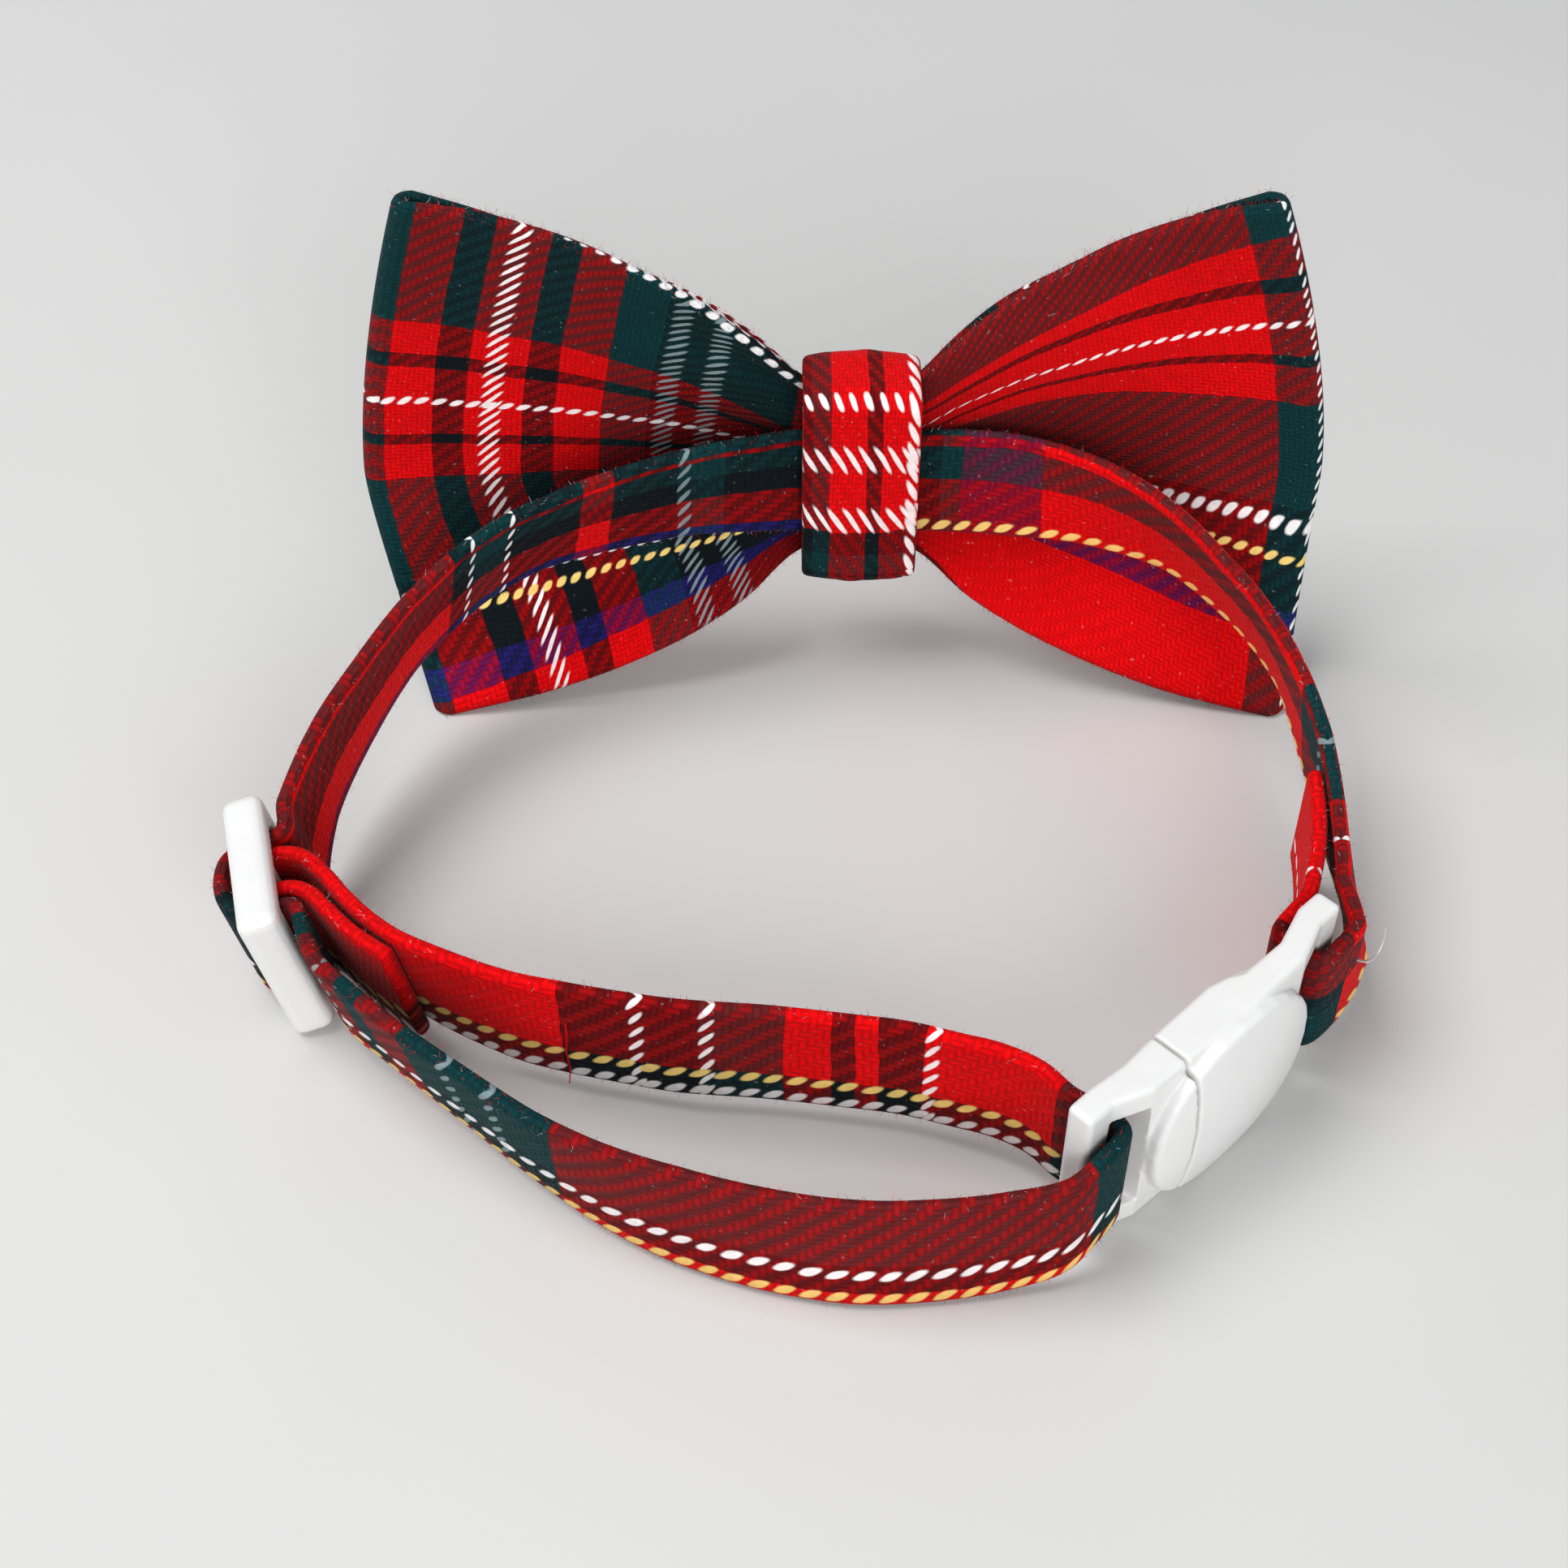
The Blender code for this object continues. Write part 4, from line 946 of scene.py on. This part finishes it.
def build_knot():
    steps, lanes = 140, 24
    depth, rise = KNOT_DEPTH - KNOT_CLOTH, KNOT_TOP - KNOT_BOTTOM - KNOT_CLOTH
    outline, even = knot_outline(depth, rise, steps)
    knot = loop_point(*KNOT_PLACE, 0.0)
    front = knot.y - STRAP_THICKNESS / 2 - CLEARANCE - KNOT_CLOTH
    half = KNOT_WIDTH / 2 - KNOT_CLOTH / 2
    shares = [2 * lane / lanes - 1 for lane in range(lanes + 1)]
    grid = []
    for depth_at, height_at in outline:
        out = Vector((0.0, depth_at - KNOT_DEPTH / 2, height_at - KNOT_MIDDLE)).normalized()
        column = []
        for share in shares:
            # Shallow folds run round the band with the bulge
            folds = 0.10 * MM * (1 - share ** 2) * math.sin(7.0 * share + 0.25 * height_at / MM)
            bulge = KNOT_BULGE * (1 - share ** 2) + max(folds, 0.0)
            flat = Vector((knot.x + share * half, front + depth_at, height_at))
            column.append(tuple(flat + out * bulge))
        grid.append(column)
    cloth = [[(length, half * (share + 1) + KNOT_CLOTH / 2) for share in shares] for length in even]
    front_corners = (KNOT_CORNERS[0][2] + KNOT_CORNERS[3][2]) * depth
    upper_edge = even[-1] - rise + front_corners - KNOT_EDGE_ABOVE_FRONT
    starts, pitch = (-float(upper_edge) / KNOT_WARP_PITCH, 0.0), (KNOT_WARP_PITCH, KNOT_WEFT_PITCH)
    twill = tartan("knot_tartan", KNOT_WARP, KNOT_WEFT, starts, 1, pitch, KNOT_FLOATS)
    grid = np.array(grid) + SHIFT
    piece = thick_band("knot_cloth", grid, cloth, KNOT_CLOTH, True, [twill], lambda side, station: 0)
    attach(piece, "root")
    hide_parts("knot_band")
    flat = (KNOT_WIDTH + KNOT_CLOTH, float(even[-1]))


def build_moulding(node_name, material):
    """A moulded part with its solid's form and softly rounded edges."""
    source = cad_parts[node_name]
    rough = source.copy()
    rough.data = source.data.copy()
    bpy.context.collection.objects.link(rough)
    for name in list(rough.modifiers.keys()):
        rough.modifiers.remove(rough.modifiers[name])
    remesh = rough.modifiers.new("remesh", "REMESH")
    remesh.mode = "VOXEL"
    remesh.voxel_size = MOULDING_VOXEL
    smooth = rough.modifiers.new("smooth", "SMOOTH")
    smooth.factor, smooth.iterations = 0.5, MOULDING_SMOOTHING
    rough.hide_viewport = False
    bpy.context.view_layer.update()
    mesh = bpy.data.meshes.new_from_object(rough.evaluated_get(bpy.context.evaluated_depsgraph_get()))
    bpy.data.objects.remove(rough)
    mesh.name = node_name + "_moulding"
    mesh.materials.clear()
    mesh.materials.append(material)
    mesh.polygons.foreach_set("material_index", [0] * len(mesh.polygons))
    mesh.polygons.foreach_set("use_smooth", [True] * len(mesh.polygons))
    piece = bpy.data.objects.new(node_name + "_moulding", mesh)
    bpy.context.collection.objects.link(piece)
    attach(piece, "root")
    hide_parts(node_name)


def tubes(name, paths, radius, materials, picks):
    """Thin fibres along paths, three-sided, tapering to their tips."""
    verts, faces, slots = [], [], []
    for path, pick in zip(paths, picks):
        path = np.array(path)
        ahead = np.gradient(path, axis=0)
        ahead /= np.linalg.norm(ahead, axis=1, keepdims=True) + 1e-12
        side = np.cross(ahead, np.array((0.31, 0.57, 0.76)))
        side /= np.linalg.norm(side, axis=1, keepdims=True) + 1e-12
        other = np.cross(ahead, side)
        base = len(verts)
        for i, point in enumerate(path):
            thin = radius * (1 - 0.6 * i / (len(path) - 1))
            for turn in range(3):
                angle = 2 * math.pi * turn / 3
                way = side[i] * math.cos(angle) + other[i] * math.sin(angle)
                verts.append(tuple(point + thin * way))
        for i in range(len(path) - 1):
            for turn in range(3):
                a, b = base + 3 * i + turn, base + 3 * i + (turn + 1) % 3
                faces.append((a, b, b + 3, a + 3))
                slots.append(pick)
        faces += [(base + 2, base + 1, base), tuple(base + 3 * (len(path) - 1) + k for k in range(3))]
        slots += [pick, pick]
    mesh = bpy.data.meshes.new(name)
    mesh.from_pydata(verts, [], faces)
    for material in materials:
        mesh.materials.append(material)
    mesh.polygons.foreach_set("material_index", slots)
    mesh.update()
    piece = bpy.data.objects.new(name, mesh)
    bpy.context.collection.objects.link(piece)
    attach(piece, "root")


def edge_fibres(name, lines, per_mm, reach, seed, thickness, materials):
    """Short fibres that stand off cloth edges. Each line is points with the way out at each."""
    chance = random.Random(seed)
    paths, picks = [], []
    for points, outs in lines:
        steps = np.linalg.norm(np.diff(points, axis=0), axis=1)
        for i, step in enumerate(steps):
            wanted = step / MM * per_mm
            for _ in range(int(wanted) + (chance.random() < wanted % 1)):
                share = chance.random()
                start = points[i] * (1 - share) + points[i + 1] * share
                out = outs[i] / (np.linalg.norm(outs[i]) + 1e-12)
                ahead = (points[i + 1] - points[i]) / (step + 1e-12)
                flat = np.cross(out, ahead)
                turn = chance.uniform(-1.35, 1.35)
                way = out * math.cos(turn) + flat * math.sin(turn)
                start = start + way * thickness * 0.5
                lean, curl = chance.uniform(-1.3, 1.3), chance.uniform(-1.2, 1.2)
                length = reach * chance.uniform(0.35, 1.0) ** 1.5
                path = []
                for share in (0, 1 / 3, 2 / 3, 1):
                    bend = (ahead * lean + flat * curl * share) * 0.6
                    path.append(start + (way * 0.8 + bend) * length * share)
                if min(p[2] for p in path) > SHIFT[2]:
                    paths.append(path)
                    picks.append(chance.choice((0, 0, 0, 1, 1, 2)))
    tubes(name, paths, FIBRE_RADIUS, materials, picks)


def build_fibres(bow_grid, strap_grid):
    colours = (("red_fibre", RED), ("teal_fibre", GREEN), ("pale_fibre", (0.62, 0.6, 0.6)))
    materials = [fibre(name, colour) for name, colour in colours]

    def edges(grid):
        return [(grid[:, -1], grid[:, -1] - grid[:, -2]), (grid[:, 0], grid[:, 0] - grid[:, 1])]

    edge_fibres("bow_fibres", edges(bow_grid), 8.0, 0.65 * MM, 3, BOW_CLOTH, materials)
    edge_fibres("strap_fibres", edges(strap_grid), 6.0, 0.55 * MM, 5, STRAP_THICKNESS, materials)


def build_loose_threads(strap_grid):
    """A red thread hanging at the strap's front and a white one at the far ring."""
    steps, rounds = 6, 6
    middle = strap_grid[:, strap_grid.shape[1] // 2]
    for name, colour, near, course in LOOSE_THREADS:
        distances = np.linalg.norm(middle - np.array(near) * MM, axis=1)
        at = middle[int(np.argmin(distances))]
        route = [at + np.array(point) * MM for point in course]
        path = []
        for start, end in zip(route, route[1:]):
            path += [start * (1 - k / steps) + end * k / steps for k in range(steps)]
        path.append(route[-1])
        for _ in range(rounds):
            inner = [(a + 2 * b + c) / 4 for a, b, c in zip(path, path[1:], path[2:])]
            path = [path[0], *inner, path[-1]]
        tubes(name, [path], LOOSE_THREAD_RADIUS, [fibre(name + "_colour", colour)], [0])


# Floor, camera, light
def build_floor():
    bpy.ops.mesh.primitive_plane_add(size=3.0, location=(0, 0.4, 0))
    floor = bpy.context.object
    floor.name = "floor"
    paper = Nodes("floor_paper")
    speck = paper.node("ShaderNodeTexNoise")
    speck.inputs["Scale"].default_value = 60.0
    paper.link(paper.mix(speck.outputs[0], FLOOR_SHADED, FLOOR_LIT), paper.shader.inputs["Base Color"])
    paper.surface({"Roughness": 0.7})
    floor.data.materials.append(paper.material)
    floor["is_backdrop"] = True


def build_camera():
    """The photograph's camera: its elevation, distance and focal length by the frame's width."""
    elevation, distance, focal, sensor = math.radians(46), 202.7 * MM, 3000 / 1932, 36.0
    centre = np.array((0.0, 17.0, 0.0)) * MM + SHIFT
    data = bpy.data.cameras.new("camera")
    camera = bpy.data.objects.new("camera", data)
    bpy.context.collection.objects.link(camera)
    back = np.array((0.0, -distance * math.cos(elevation), distance * math.sin(elevation)))
    camera.location = centre + back
    camera.rotation_euler = (math.pi / 2 - elevation, 0.0, 0.0)
    data.sensor_width = sensor
    data.sensor_fit = "HORIZONTAL"
    data.lens = sensor * focal
    data.clip_start = 0.005
    bpy.context.scene.camera = camera


def area_light(name, place, aim, size, power):
    data = bpy.data.lights.new(name, "AREA")
    data.shape = "RECTANGLE"
    data.size, data.size_y = size
    data.energy = power
    light = bpy.data.objects.new(name, data)
    bpy.context.collection.objects.link(light)
    light.location = place
    light.rotation_euler = (Vector(aim) - Vector(place)).to_track_quat("-Z", "Y").to_euler()


def build_world():
    world = bpy.data.worlds.new("studio")
    bpy.context.scene.world = world
    world.use_nodes = True
    background = world.node_tree.nodes["Background"]
    background.inputs["Color"].default_value = (0.95, 0.97, 1.0, 1.0)
    background.inputs["Strength"].default_value = 0.34
    bpy.context.scene.view_settings.view_transform = "Standard"


bow_grid = build_bow()
strap_grid = build_strap()
build_knot()
build_fibres(bow_grid, strap_grid)
build_loose_threads(strap_grid)

white = plastic("white_moulded_plastic")
for node_name in ("slider", "buckle_tongue_half", "buckle_socket_half"):
    build_moulding(node_name, white)

build_floor()
build_camera()
area_light("key_light", (-0.30, 0.02, 0.62), (0, 0, 0.01), (0.40, 0.40), 3.5)
area_light("front_light", (0.10, -0.62, 0.34), (0, 0, 0.02), (0.5, 0.35), 3.2)
build_world()

visual_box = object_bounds()
boxes = {"cad": cad_box, "visual": visual_box}
{key: [list(map(float, p)) for p in box] for key, box in boxes.items()}
